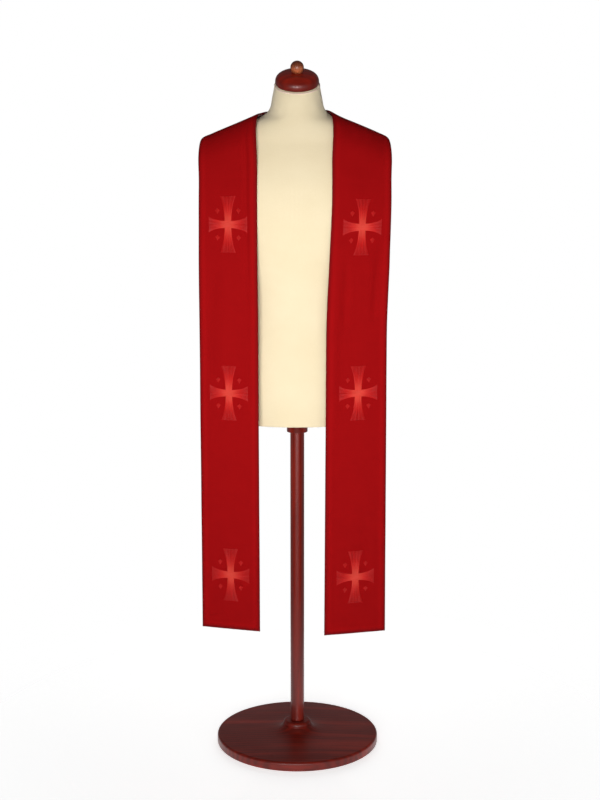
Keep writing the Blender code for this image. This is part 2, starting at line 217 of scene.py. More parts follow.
class Finish(Tree):
    """A material under construction."""

    def __init__(self, name, **constants):
        self.material = bpy.data.materials.new(name)
        self.material.use_nodes = True
        super().__init__(self.material.node_tree)
        self.shader = self.tree.nodes["Principled BSDF"]
        for socket, value in constants.items():
            self.shader.inputs[socket.replace("_", " ")].default_value = value

    def feed(self, socket, value):
        self.tree.links.new(value.socket, self.shader.inputs[socket])

    def mix(self, share, first, second):
        """first where share is 0, second where it is 1; each is a colour or a Signal."""
        first, second = (c if isinstance(c, Signal) else (*c, 1.0) for c in (first, second))
        inputs = {0: share, 6: first, 7: second}  # the node's own sockets for mixing colours
        return self.node("ShaderNodeMix", {"data_type": "RGBA"}, inputs, output=2)

    def noise(self, where, scale, detail=2.0, roughness=0.5):
        inputs = {"Vector": where, "Scale": scale, "Detail": detail, "Roughness": roughness}
        return self.node("ShaderNodeTexNoise", {}, inputs)

    def place(self):
        """Where a point lies on its object, in metres."""
        return self.node("ShaderNodeTexCoord", output="Object")

    def mapped(self, name):
        """Where a point lies on one of the mesh's own maps."""
        return self.node("ShaderNodeUVMap", {"uv_map": name})

    def kept(self, name):
        """A number that the mesh keeps on its points."""
        return self.node("ShaderNodeAttribute", {"attribute_name": name}, output="Fac")

    def relief(self, height, depth):
        """Bumps that are depth metres tall where height is 1."""
        inputs = {"Height": height, "Distance": depth, "Strength": 1.0}
        self.feed("Normal", self.node("ShaderNodeBump", {}, inputs))


print("screen red 165, 16, 18 is linear", [round(x, 4) for x in colour(165, 16, 18)])

# %% [markdown]
# ## Smooth lines from few numbers
#
# A tailor draws a curve through a few measured points. So does this script: each table below
# has a row for each place that matters, and a Catmull-Rom curve runs smoothly through them.
# `ease` goes from 0 to 1 with no corner, and `halve` finds where a rising value passes a limit.

# %% Curves and easing
HALVINGS = 40


def ease(value):
    value = np.clip(value, 0.0, 1.0)
    return value * value * (3 - 2 * value)


def halve(low, high, is_low):
    """The place between low and high where is_low turns from true to false."""
    for _ in range(HALVINGS):
        middle = (low + high) / 2
        below = is_low(middle)
        low, high = np.where(below, middle, low), np.where(below, high, middle)
    return (low + high) / 2


def smooth_curve(knots, steps):
    """A centripetal Catmull-Rom curve through the knots, with steps points in each span."""
    points = np.asarray(knots, float)
    padded = np.vstack([2 * points[0] - points[1], points, 2 * points[-1] - points[-2]])
    gaps = np.sqrt(np.linalg.norm(np.diff(padded, axis=0), axis=1))
    made = []
    for i in range(1, len(padded) - 2):
        before, start, end, after = padded[i - 1 : i + 3]
        a, b, c = gaps[i - 1 : i + 2]
        leaving = (start - before) / a - (end - before) / (a + b) + (end - start) / b
        arriving = (end - start) / b - (after - start) / (b + c) + (after - end) / c
        for k in range(steps):
            u = k / steps
            made.append(
                (2 * u**3 - 3 * u**2 + 1) * start
                + (u**3 - 2 * u**2 + u) * b * leaving
                + (3 * u**2 - 2 * u**3) * end
                + (u**3 - u**2) * b * arriving
            )
    made.append(points[-1])
    return np.array(made)


def running_total(steps):
    return np.concatenate([[0], np.cumsum(steps)])


def distances(points):
    """How far each point of a line lies from its start, along the line."""
    return running_total(np.linalg.norm(np.diff(points, axis=0), axis=1))


print("halfway up, ease gives", ease(0.5))

# %% [markdown]
# ## Meshes from grids
#
# Cloth, a knitted tube and a turned piece all have points in rows and columns, and so have the
# numbers that a mesh keeps for its materials. `corners` cuts such a grid into cells. Given the
# points' numbers it returns the faces, and given a map it returns what each face's corners need,
# in the same order. A tube is a grid whose first column comes again after its last.

# %% Grids, meshes and objects


def corners(grid):
    """What a grid holds at the four corners of each of its cells, with a row for each cell."""
    four = grid[:-1, :-1], grid[:-1, 1:], grid[1:, 1:], grid[1:, :-1]
    return np.stack([c.reshape(-1, *grid.shape[2:]) for c in four], axis=1)


def closed(grid):
    return np.column_stack([grid, grid[:, :1]])


def new_mesh(name, points, faces, map_name=None, at=()):
    """A mesh whose map, if it has one, holds a place for each corner of each face."""
    mesh = bpy.data.meshes.new(name)
    mesh.from_pydata(np.reshape(points, (-1, 3)).tolist(), [], faces)
    if map_name:
        mesh.uv_layers.new(name=map_name).uv.foreach_set("vector", np.ravel(at))
    mesh.shade_smooth()
    return mesh


def keep_on_points(mesh, name, kind, values):
    """Gives every point of the mesh a FLOAT or a FLOAT_VECTOR under a name."""
    field = "value" if kind == "FLOAT" else "vector"
    mesh.attributes.new(name, kind, "POINT").data.foreach_set(field, np.ravel(values))


def new_object(name, data):
    thing = bpy.data.objects.new(name, data)
    bpy.context.scene.collection.objects.link(thing)
    return thing


print("a grid of 3 by 3 points has", len(corners(np.zeros((3, 3)))), "cells")

# %% [markdown]
# ## The dress form's cover
#
# The form is a padded torso with a knitted cover pulled over it. Its shape is a stack of
# rounded rings, one for each height that a tailor measures: seat, hip, waist, breast, shoulder,
# neck. `squareness` is 2 for an oval and more for a flatter chest, and the neck's rings lean
# forward. A sculpted mesh could do this too, but rings keep the sides even and can be measured.
# The cover is sewn from one front and two backs, so a seam runs down each side and down the
# centre back. The top and bottom edges are rounded, as where it turns over the padding's rim.

# %% Measure the form
NECK_TILT = math.radians(23.5)
FORM_RINGS = (
    # name, height, half_width, side, front, back, squareness, tilt
    ("bottom", 0.8000, 0.1580, 0.0040, -0.1060, 0.1130, 2.2, 0.0),
    ("seat", 0.8800, 0.1710, 0.0040, -0.1110, 0.1230, 2.2, 0.0),
    ("hip", 0.9650, 0.1630, 0.0020, -0.1090, 0.1120, 2.2, 0.0),
    ("waist", 1.0750, 0.1460, 0.0000, -0.1050, 0.0940, 2.2, 0.0),
    ("ribs", 1.1800, 0.1630, 0.0000, -0.1150, 0.1010, 2.4, 0.0),
    ("breast", 1.2750, 0.1810, 0.0030, -0.1215, 0.1120, 2.6, 0.0),
    ("armpit", 1.3350, 0.1920, 0.0100, -0.1165, 0.1170, 2.5, 0.0),
    ("shoulder_joint", 1.3850, 0.2020, 0.0190, -0.1035, 0.1150, 2.3, 0.0),
    ("shoulder_end", 1.4240, 0.2065, 0.0260, -0.0890, 0.1070, 2.1, 0.0),
    ("shoulder_tip", 1.4465, 0.2030, 0.0275, -0.0800, 0.0990, 2.0, 0.0),
    ("outer_ridge", 1.4601, 0.1850, 0.0205, -0.0760, 0.0930, 2.0, 0.0),
    ("middle_ridge", 1.4757, 0.1500, 0.0113, -0.0720, 0.0860, 2.0, 0.0),
    ("inner_ridge", 1.4900, 0.1110, 0.0030, -0.0690, 0.0790, 2.0, 0.0),
    ("neck_foot", 1.5020, 0.0800, -0.0040, -0.0670, 0.0710, 2.0, 0.1),
    ("neck_base", 1.5165, 0.0640, -0.0080, -0.0655, 0.0600, 2.0, 0.3),
    ("neck_middle", 1.5430, 0.0568, -0.0120, -0.0640, 0.0430, 2.0, 0.7),
    ("neck_top", 1.5740, 0.0508, -0.0150, -0.0620, 0.0320, 2.0, 1.0),
)
RINGS_BETWEEN_ROWS = 8


def form_rows():
    """The table's numbers at close steps from the bottom to the neck, without the names."""
    return smooth_curve([row[1:] for row in FORM_RINGS], RINGS_BETWEEN_ROWS)


print("the form is measured at", len(FORM_RINGS), "heights and made of", len(form_rows()), "rings")

# %% [markdown]
# Each seam is a groove between two low ridges, where the allowances lie under the knit. The
# points round the form are even, apart from a few that lie close together across each seam.

# %% Points and seams round the form
POINTS_ROUND = 120
MEAN_RADIUS = 0.16
COVER_SEAMS = (0, math.pi / 2, math.pi)  # the wearer's left side, the back, the right side
SEAM_STATIONS = (0.0, 0.0006, 0.0014, 0.0026, 0.0042, 0.0060)
SEAM_CLEAR = 0.001
SEAM_RIDGE = 0.0004
SEAM_RIDGE_WIDTH = 0.006
SEAM_GROOVE = 0.0011
SEAM_GROOVE_WIDTH = 0.0014
COVER_SHRINK = 0.0004


def away_from_seam(angles, seam):
    """How far each angle is from a seam, in metres round the form."""
    return np.abs((angles - seam + math.pi) % (2 * math.pi) - math.pi) * MEAN_RADIUS


def ring_angles():
    """Even angles round the form, with more of them close to each seam."""
    angles = np.linspace(0, 2 * math.pi, POINTS_ROUND, endpoint=False)
    for seam in COVER_SEAMS:
        far = away_from_seam(angles, seam) > SEAM_STATIONS[-1] + SEAM_CLEAR
        close = [seam + side * s / MEAN_RADIUS for s in SEAM_STATIONS for side in (1, -1)]
        angles = np.concatenate([angles[far], np.mod(close, 2 * math.pi)])
    return np.unique(angles)


def seam_height(angles):
    """How far the knit stands out at each angle: a ridge each side of a groove."""
    height = np.zeros_like(angles)
    for seam in COVER_SEAMS:
        away = away_from_seam(angles, seam)
        height += SEAM_RIDGE * (1 - ease(away / SEAM_RIDGE_WIDTH))
        height -= SEAM_GROOVE * (1 - ease(away / SEAM_GROOVE_WIDTH))
    return height


def form_ring(row, angles, inset=0.0):
    """The points of one ring of the cover, as an array with a row for each angle."""
    height, half_width, side, front, back, squareness, tilt = row
    power = 2 / squareness
    across = np.sign(np.cos(angles)) * np.abs(np.cos(angles)) ** power
    deep = np.sign(np.sin(angles)) * np.abs(np.sin(angles)) ** power
    out = seam_height(angles) - inset - COVER_SHRINK
    x = (half_width + out) * across
    y = side + deep * np.where(deep > 0, back - side + out, side - front + out)
    return np.stack([x, y, height + (y - side) * math.tan(NECK_TILT * tilt)], axis=1)


print(len(ring_angles()), "points round the form")

# %% [markdown]
# The rings become a mesh, with a rounded rim at both ends: there a few more rings step inwards
# along a quarter circle. The map called `cloth` keeps, for each corner, how far round and how
# far up the cover it lies in metres, and the knit of the material follows it.

# %% Knit the cover over the form
RIM_ROUND = 0.0030
RIM_STEPS = 5


def rim_rows(row, direction):
    """Copies of an end row that turn inwards along a quarter circle, with their insets."""
    made = []
    for angle in np.linspace(0, math.pi / 2, RIM_STEPS + 1)[1:]:
        moved = row.copy()
        moved[0] += direction * (math.sin(angle) - 1) * RIM_ROUND
        made.append((moved, (1 - math.cos(angle)) * RIM_ROUND))
    return made


def shortened(row, direction):
    row = row.copy()
    row[0] -= direction * RIM_ROUND
    return row


def make_form_cover():
    bottom, *body, top = form_rows()
    body = [(row, 0.0) for row in (shortened(bottom, -1), *body, shortened(top, 1))]
    stack = rim_rows(bottom, -1)[::-1] + body + rim_rows(top, 1)
    angles = ring_angles()
    points = np.array([form_ring(row, angles, inset) for row, inset in stack])
    index = closed(np.arange(points.size // 3).reshape(len(stack), -1))
    round_it = np.append(angles, 2 * math.pi) * MEAN_RADIUS
    places = np.stack(np.meshgrid(round_it, distances(points[:, 0])), axis=2)
    faces = [*corners(index).tolist(), index[0, :0:-1].tolist(), index[-1, 1:].tolist()]
    at = np.concatenate([corners(places).reshape(-1, 2), places[0, :0:-1], places[-1, 1:]])
    return new_object("form_cover", new_mesh("form_cover", points, faces, "cloth", at))


form_cover = make_form_cover()
print("form cover", len(form_cover.data.polygons), "faces")

# %% [markdown]
# ## How a band of the stole runs
#
# Each half of the stole is cut to a shape: nearly straight from the hem up to the chest, then
# curved, so that it bends round the neck without a fold. Draping it by simulation would work,
# but the result could not be steered to a millimetre. So the shoulder is treated as a bent
# sheet: a curve in profile, moved along the sloping ridge of the shoulder. On that unrolled
# sheet the band is a ribbon that steers: `turn` is its heading at each distance from the ridge,
# and `flare` widens its outer edge where the cloth is stretched over the shoulder.

# %% The band's own numbers
CLOTH_THICK = 0.003
REST_GAP = 0.0008
FLOOR_TO_HEM = 0.318
BAND_WIDTH_AT_NECK = 0.1365
SHOULDER_SLOPE = math.radians(22.0)
RIDGE_HEIGHT_AT_CENTRE = 1.5372
SWEEP_PIVOT_OUT = 0.120
SWEEP_PIVOT_BACK = 0.004
FRONT_SWEEP = math.radians(14.0)
BACK_SWEEP = math.radians(-2.0)
SWEEP_CHANGE_LENGTH = 0.16
SHOULDER_CURVE = (
    # name, back, drop
    ("hem", -0.1130, 1.400),
    ("waist", -0.1130, 0.500),
    ("breast", -0.1125, 0.300),
    ("upper_chest", -0.1050, 0.190),
    ("collarbone", -0.0900, 0.105),
    ("front_slope", -0.0690, 0.042),
    ("front_of_ridge", -0.0350, 0.007),
    ("ridge", 0.0000, 0.000),
    ("back_of_ridge", 0.0370, 0.006),
    ("back_slope", 0.0640, 0.021),
    ("blade_top", 0.0850, 0.046),
    ("blade", 0.1000, 0.095),
    ("back", 0.1080, 0.160),
    ("low_back", 0.1120, 0.300),
)
BAND_COURSE = (
    # name, along, turn, flare
    ("hem", -1.300, 22.0, 0.000),
    ("breast", -0.300, 22.0, 0.000),
    ("collarbone", -0.160, 19.5, 0.002),
    ("front_slope", -0.090, 13.5, 0.006),
    ("ridge", 0.000, 2.0, 0.007),
    ("behind_ridge", 0.055, 22.0, 0.004),
    ("behind_neck", 0.120, 40.0, 0.000),
    ("seam", 0.250, 52.0, 0.000),
)
SHOULDER_STEPS = 40
COURSE_STEP = 0.002
COURSE_SPARE = 0.1
COURSE_REACH = 15
RIDGE_CENTRE_OUT = 0.1377
STOLE_OFF_CENTRE = -0.005
PAST_SEAM = 0.006
print("a band is", CLOTH_THICK * 1000, "mm thick and rests", REST_GAP * 1000, "mm off the cover")

# %% [markdown]
# No two ends hang alike. The table gives what differs: the width at the hem, how much lower the
# hem is, how far the band steps inwards over the breast and how its plane twists. Long, shallow
# waves go through the whole hanging stretch, because interlined cloth bends but doesn't crumple.

# %% How each band hangs
HANGING = {
    "right": {"side": -1, "hem_width": 0.141, "lower": 0.000, "inwards": 0.002, "twist": 1.5},
    "left": {"side": 1, "hem_width": 0.149, "lower": 0.010, "inwards": 0.012, "twist": 0.0},
}
BEND_START = -0.30
BREAST_STEP_START = -0.17
BREAST_STEP_LENGTH = 0.36
HANG_START = -0.25
HANG_EASE = 0.10
HANG_LENGTH = 0.92
HANGING_WAVES = (
    # name, centre below the breast, half_length, depth
    ("under_breast", 0.16, 0.14, 0.0018),
    ("middle", 0.46, 0.17, -0.0014),
    ("above_hem", 0.78, 0.15, 0.0018),
)
EDGE_CURL = 0.0010


def shoulder_curve():
    """(distance along it from the ridge, back, height) at close steps, from hem to low back."""
    points = smooth_curve([(back, -drop) for _, back, drop in SHOULDER_CURVE], SHOULDER_STEPS)
    along = distances(points)
    ridge = along[np.abs(points).sum(axis=1).argmin()]
    return along - ridge, points[:, 0], points[:, 1]


def averaged(values):
    """Each value's mean with its neighbours, which rounds off the corners at the knots."""
    kernel = np.ones(2 * COURSE_REACH + 1) / (2 * COURSE_REACH + 1)
    return np.convolve(np.pad(values, COURSE_REACH, mode="edge"), kernel, mode="valid")


def band_course():
    """Where the middle of the band runs on the unrolled shoulder, at close steps."""
    knots = np.array([row[1:] for row in BAND_COURSE])
    along = np.arange(knots[0, 0], knots[-1, 0] + COURSE_SPARE, COURSE_STEP)
    turn = np.radians(averaged(np.interp(along, knots[:, 0], knots[:, 1])))
    flare = averaged(np.interp(along, knots[:, 0], knots[:, 2]))
    between = (turn[1:] + turn[:-1]) / 2
    over = running_total(np.cos(between) * COURSE_STEP)
    out = -running_total(np.sin(between) * COURSE_STEP)
    ridge = np.abs(along).argmin()
    out_at_ridge = RIDGE_CENTRE_OUT / math.cos(SHOULDER_SLOPE)
    return along, over - over[ridge], out - out[ridge] + out_at_ridge, turn, flare


print("the course has", len(band_course()[0]), "steps of", COURSE_STEP, "m")

# %% [markdown]
# `Band` turns two numbers into a place: `along` is how far up the band, `across` goes from 0 at
# the edge by the neck to 1 at the outer edge. Both may be whole arrays, so thousands of points
# are worked out at once.

# %% From along and across to a point


class Band:
    """One band of the stole: its course, its measures and the places of its underside."""

    def __init__(self, side, hem_width, lower, inwards, twist):
        self.side = side
        self.hem_width = hem_width
        self.inwards = inwards
        self.twist = math.radians(twist)
        self.curve = shoulder_curve()
        self.course = band_course()
        self.start = self.course[0][0]
        self.end = self.course[0][-1]
        hem_height = FLOOR_TO_HEM - lower
        self.hem = float(halve(self.start, BEND_START, lambda s: self.laid(s, 0.5)[2] < hem_height))

    def width(self, along):
        share = (along - self.start) / (self.end - self.start)
        return self.hem_width + (BAND_WIDTH_AT_NECK - self.hem_width) * share

    def laid(self, along, across):
        """x, y and z on the wearer's left shoulder, before what differs from side to side."""
        stations, over, out, turn, flare = self.course
        direction = np.interp(along, stations, turn)
        offset = (across - 0.5) * self.width(along) + across * np.interp(along, stations, flare)
        past_ridge = np.interp(along, stations, over) + offset * np.sin(direction)
        down_ridge = np.interp(along, stations, out) + offset * np.cos(direction)
        back = np.interp(past_ridge, self.curve[0], self.curve[1])
        rise = np.interp(past_ridge, self.curve[0], self.curve[2])
        slope_cos, slope_sin = math.cos(SHOULDER_SLOPE), math.sin(SHOULDER_SLOPE)
        outward = down_ridge * slope_cos + rise * slope_sin - SWEEP_PIVOT_OUT
        swung = ease(past_ridge / SWEEP_CHANGE_LENGTH)
        sweep = FRONT_SWEEP + (BACK_SWEEP - FRONT_SWEEP) * swung
        x = SWEEP_PIVOT_OUT + outward * np.cos(sweep) - back * np.sin(sweep)
        y = SWEEP_PIVOT_BACK + outward * np.sin(sweep) + back * np.cos(sweep)
        z = RIDGE_HEIGHT_AT_CENTRE + rise * slope_cos - down_ridge * slope_sin
        return x, y, z

    def points(self, along, across):
        """The band as it hangs, mirrored to its own side."""
        x, y, z = self.laid(along, across)
        below = np.maximum(0.0, HANG_START - along)
        for _, centre, half_length, depth in HANGING_WAVES:
            y = y + depth * (1 - ease(np.abs(below - centre) / half_length))
        y = y + EDGE_CURL * ease(below / HANG_EASE) * (2 * across - 1) ** 2
        outward = (across - 0.5) * self.width(along)
        y = y + outward * math.sin(self.twist) * below / HANG_LENGTH
        x = x - self.inwards * ease((BREAST_STEP_START - along) / BREAST_STEP_LENGTH)
        return np.stack([x * self.side + STOLE_OFF_CENTRE, y, z], axis=-1)

    def seam_along(self, across):
        """How far along the band is when it is just over the centre line, to be cut there."""
        low, high = np.zeros_like(across), np.full_like(across, self.end)
        return halve(low, high, lambda s: self.laid(s, across)[0] > -PAST_SEAM)


bands = {name: Band(**options) for name, options in HANGING.items()}
for name, band in bands.items():
    print(name, "band hangs", round(-band.hem, 3), "m below the ridge of the shoulder")

# %% [markdown]
# ## Where the cloth gets its points
#
# A flat middle needs few points, and an edge needs many: it rolls over, and behind it the
# lining's fold begins. So the lines across the band are close together near each edge and about
# four millimetres apart between them. The lines along it do the same at the hem and at the
# centre-back seam.

# %% Lay out the grid of one band
EDGE_STATIONS = (0.0, 0.0003, 0.0009, 0.0018, 0.0030, 0.0035, 0.0040, 0.0055, 0.0090, 0.0130, 0.0160)
SEAM_STATIONS_BEFORE = (0.0060, 0.0040, 0.0026, 0.0016, 0.0008, 0.0)
CELL = 0.004
RIDGE_PASSED = 0.045


def column_places(width):
    """Fractions across the band, close together at both edges."""
    near = np.array(EDGE_STATIONS) / width
    inner_count = math.ceil((1 - 2 * near[-1]) * width / CELL)
    inner = np.linspace(near[-1], 1 - near[-1], inner_count + 1)[1:-1]
    return np.concatenate([near, inner, 1 - near[::-1]])


def grid_of(band):
    """along and across for every point, from the hem to just past the seam."""
    across = column_places(band.width(band.hem))
    hem_rows = band.hem + np.array(EDGE_STATIONS)
    straight_count = math.ceil((RIDGE_PASSED - hem_rows[-1]) / CELL)
    straight = np.concatenate([hem_rows, np.linspace(hem_rows[-1], RIDGE_PASSED, straight_count)[1:]])
    ends = band.seam_along(across)
    mean_rest = ends.mean() - RIDGE_PASSED
    before = 1 - np.array(SEAM_STATIONS_BEFORE) / mean_rest
    shares = np.concatenate([np.linspace(0, before[0], math.ceil(mean_rest / CELL))[1:], before[1:]])
    along = np.concatenate([
        np.repeat(straight[:, None], len(across), axis=1),
        RIDGE_PASSED + (ends[None, :] - RIDGE_PASSED) * shares[:, None],
    ])
    return along, np.broadcast_to(across, along.shape)


for name, band in bands.items():
    print(name, "band has", grid_of(band)[0].shape, "rows and columns")

# %% [markdown]
# ## Creases placed one by one
#
# A stole is kept folded, and it hangs from two hands before it lies here, so it keeps a few
# soft creases. Each row of the table is one: where it starts and ends, in metres from the inner
# edge and up from the hem, how wide it is, and how deep (negative stands out). On top comes a
# very low, broad unevenness, from noise with a fixed offset, so it is the same on every run.

# %% Creases and unevenness
CREASES = {
    "right": (
        # name, across and up at the start, across and up at the end, half_width, depth
        ("inner_fold", 0.024, 0.790, 0.026, 1.200, 0.009, 0.0022),
        ("inner_swell", 0.011, 0.600, 0.013, 1.190, 0.011, -0.0012),
        ("outer_sag", 0.118, 0.560, 0.100, 0.900, 0.026, 0.0018),
        ("hem_press", 0.088, 0.034, 0.128, 0.038, 0.008, 0.0010),
    ),
    "left": (
        ("outer_fold", 0.110, 0.720, 0.116, 0.920, 0.015, 0.0026),
        ("outer_swell", 0.134, 0.740, 0.136, 0.900, 0.012, -0.0012),
        ("inner_fold", 0.044, 0.690, 0.040, 0.900, 0.014, 0.0022),
        ("inner_swell", 0.020, 0.420, 0.022, 0.900, 0.014, -0.0014),
        ("low_sag", 0.100, 0.120, 0.090, 0.300, 0.024, 0.0014),
    ),
}
CREASE_FADE = 0.3
UNEVEN = 0.0005
UNEVEN_SCALE = (16.0, 9.0)


def crease_depth(creases, across, up):
    """How far each point is pushed towards the form."""
    depth = np.zeros_like(across)
    for _, across_0, up_0, across_1, up_1, half_width, deep in creases:
        run = np.array([across_1 - across_0, up_1 - up_0])
        share = ((across - across_0) * run[0] + (up - up_0) * run[1]) / (run @ run)
        kept = np.clip(share, 0, 1)
        away = np.hypot(across - across_0 - kept * run[0], up - up_0 - kept * run[1])
        fade = ease(kept / CREASE_FADE) * ease((1 - kept) / CREASE_FADE)
        depth += deep * fade * (1 - ease(away / half_width))
    return depth


def unevenness(across, up, seed):
    scaled = np.stack([across * UNEVEN_SCALE[0], up * UNEVEN_SCALE[1]], axis=-1)
    flat = [noise.noise(Vector((x, y, seed))) for x, y in scaled.reshape(-1, 2)]
    return UNEVEN * np.array(flat).reshape(across.shape)


print("creases:", {name: [row[0] for row in rows] for name, rows in CREASES.items()})

# %% [markdown]
# Creases and unevenness push the cloth along its own normal, which is found from the grid: the
# cross product of the steps to the next column and to the next row.

# %% Shape a band, before it rests on anything
UNEVEN_SEED = 3.0


def normals_of(points, side):
    """The outward direction at each point of a grid."""
    up = np.gradient(points, axis=0)
    out = np.gradient(points, axis=1) * side
    normal = np.cross(out, up)
    return normal / np.linalg.norm(normal, axis=2, keepdims=True)


def shaped(name, along, across):
    """The underside of a band with its creases, before it is lifted off the cover."""
    band = bands[name]
    points = band.points(along, across)
    inward = across * band.width(along)
    up = along - band.hem
    push = crease_depth(CREASES[name], inward, up) + unevenness(inward, up, UNEVEN_SEED + band.side)
    return points - normals_of(points, band.side) * push[:, :, None]


hem_height = shaped("left", *grid_of(bands["left"]))[0, :, 2].mean()
print("the left hem hangs", round(float(hem_height), 3), "m above the floor")

# %% [markdown]
# ## Resting on the form
#
# The band's smooth course is only close to the form. Where it is too near the cover, or inside
# it, the cloth has to be lifted. Stiff cloth can't follow a sharp bump, so a lift is shared out
# on a grid: each point takes the greatest lift near it, and then the mean of those around it.

# %% Share a lift with the cloth around it
LIFT_REACH = 3


def neighbours(field, axis):
    """Every value with those up to LIFT_REACH steps away along one axis, in a last axis."""
    reach = [(LIFT_REACH, LIFT_REACH) if a == axis else (0, 0) for a in range(3)]
    padded = np.pad(field, reach, mode="edge")
    return np.lib.stride_tricks.sliding_window_view(padded, 2 * LIFT_REACH + 1, axis)


def spread(lift):
    """Each lift as the mean of the greatest ones round it, so the cloth bulges smoothly."""
    for axis in (0, 1):
        near = neighbours(lift, axis)
        greatest = np.linalg.norm(near, axis=2).argmax(axis=2)
        lift = np.take_along_axis(near, greatest[:, :, None, None], axis=3)[..., 0]
    for axis in (0, 1):
        lift = neighbours(lift, axis).mean(axis=3)
    return lift


print("a lift is felt up to", 2 * LIFT_REACH, "cells away")

# %% [markdown]
# The test runs on an even grid. For each of its points the nearest face of the cover is found,
# and what the point lacks is shared with the cloth around it. That is repeated until little is
# too near. The finished band reads its own lift between the points of this grid.

# %% Find out how far the cloth must be lifted
LIFT_CELL = 0.006
LIFT_COLUMNS = 25
LIFTING_PASSES = 8
LIFT_ENOUGH = 0.00005
LIFT_START = -0.60


def lift_table(name, surface):
    """Places along and across a band, and how far the cloth has to move at each of them."""
    band = bands[name]
    along = np.arange(LIFT_START, band.end, LIFT_CELL)
    across = np.linspace(0, 1, LIFT_COLUMNS)
    laid = shaped(name, *np.meshgrid(along, across, indexing="ij"))
    on_own_side = (laid[:, :, 0] - STOLE_OFF_CENTRE) * band.side > -2 * PAST_SEAM
    total = np.zeros_like(laid)
    for _ in range(LIFTING_PASSES):
        lift = np.zeros_like(laid)
        for cell in np.argwhere(on_own_side):
            point = Vector(laid[tuple(cell)] + total[tuple(cell)])
            place, normal, _, _ = surface.find_nearest(point)
            lack = REST_GAP - (point - place).dot(normal)
            if lack > 0:
                lift[tuple(cell)] = normal * lack
        if np.abs(lift).max() < LIFT_ENOUGH:
            break
        total += spread(lift)
    return along, across, total


def read_table(table, along, across):
    """The table's values between its rows and columns."""
    rows, columns, values = table
    below_last = 1.001
    i = np.clip((along - rows[0]) / LIFT_CELL, 0, len(rows) - below_last)
    j = across * (len(columns) - below_last)
    low_i, low_j = i.astype(int), j.astype(int)
    u, v = (i - low_i)[..., None], (j - low_j)[..., None]
    low = values[low_i, low_j] * (1 - v) + values[low_i, low_j + 1] * v
    high = values[low_i + 1, low_j] * (1 - v) + values[low_i + 1, low_j + 1] * v
    return low * (1 - u) + high * u


bpy.context.view_layer.update()
cover_surface = BVHTree.FromObject(form_cover, bpy.context.evaluated_depsgraph_get())
lifts = {name: lift_table(name, cover_surface) for name in bands}
for name, (_, _, total) in lifts.items():
    most = float(np.linalg.norm(total, axis=2).max())
    print(name, "band is lifted by up to", round(most * 1000, 1), "mm")

# %% [markdown]
# ## The wall of the cloth
#
# What looks like one layer is three: the face cloth, an interlining that gives it body, and a
# lining. The face cloth is turned over the interlining's edge, and the lining is folded in and
# sewn down a few millimetres inside that edge. Solidify could thicken a sheet evenly, but here
# the front and the back differ, so each gets its own height above the underside: the front
# rolls down over its last few millimetres, with a faint step where the turned-in cloth ends,
# and the back has the lining's fold. Front and back share their points along the outer edge.

# %% Heights of the front and the back
EDGE_ROLL = 0.0055
BACK_ROLL = 0.0018
LINING_INSET = 0.0035
LINING_PROUD = 0.00035
LINING_FOLD = 0.0005
TURNED_IN = 0.0130
TURNED_IN_STEP = 0.00025
TURNED_IN_SLOPE = 0.003
SEAM_DIP = 0.0011
SEAM_DIP_WIDTH = 0.0030


def rolled(away, width):
    """1 at an edge, falling to 0 along a quarter of an ellipse that is width long."""
    share = np.clip(1 - away / width, 0, 1)
    return 1 - np.sqrt(1 - share**2)


def front_height(away, from_seam):
    height = CLOTH_THICK - rolled(away, EDGE_ROLL) * CLOTH_THICK / 2
    turned_in = 1 - ease((away - TURNED_IN) / TURNED_IN_SLOPE)
    height += TURNED_IN_STEP * turned_in * ease(away / EDGE_ROLL)
    return height - SEAM_DIP * (1 - ease(from_seam / SEAM_DIP_WIDTH))


def back_height(away):
    height = rolled(away, BACK_ROLL) * CLOTH_THICK / 2
    return height - LINING_PROUD * ease((away - LINING_INSET) / LINING_FOLD)


print("front at the edge:", round(float(front_height(0.0, 1.0)) * 1000, 2), "mm above the underside")

# %% [markdown]
# The two grids are joined into one closed wall. It reaches six millimetres past the centre, and
# a plane cuts it 0.15 mm short of the middle, so the two halves meet with a hair's gap, as two
# sewn edges do. The cut is filled, which closes the wall again.

# %% Build the wall of a band
FACE_SLOT, LINING_SLOT = 0, 1
ROUNDING = 1e-6
SEAM_GAP = 0.0003


def wall_mesh(name, front, back, flat, away, side):
    """A closed wall from two grids of points that share their border, apart from the last row."""
    tall, wide = front.shape[:2]
    front_index = np.arange(tall * wide).reshape(tall, wide)
    inside = np.ones((tall, wide), bool)
    inside[0] = inside[:, 0] = inside[:, -1] = False
    back_index = front_index.copy()
    back_index[inside] = tall * wide + np.arange(inside.sum())
    points = np.concatenate([front.reshape(-1, 3), back[inside]])
    flats = np.concatenate([flat.reshape(-1, 2), flat[inside]])
    turns = (-1, 1) if side < 0 else (1, -1)
    both = [corners(index)[:, ::turn] for index, turn in zip((front_index, back_index), turns)]
    faces = np.stack(both, axis=1).reshape(-1, 4)
    lined = corners(away).min(axis=1) > LINING_INSET - ROUNDING
    slots = np.where(np.stack([np.zeros_like(lined), lined], axis=1), LINING_SLOT, FACE_SLOT)
    mesh = new_mesh(name, points, faces.tolist(), "cloth", flats[faces])
    mesh.polygons.foreach_set("material_index", slots.ravel())
    keep_on_points(mesh, "away", "FLOAT", np.concatenate([away.ravel(), away[inside]]))
    return mesh


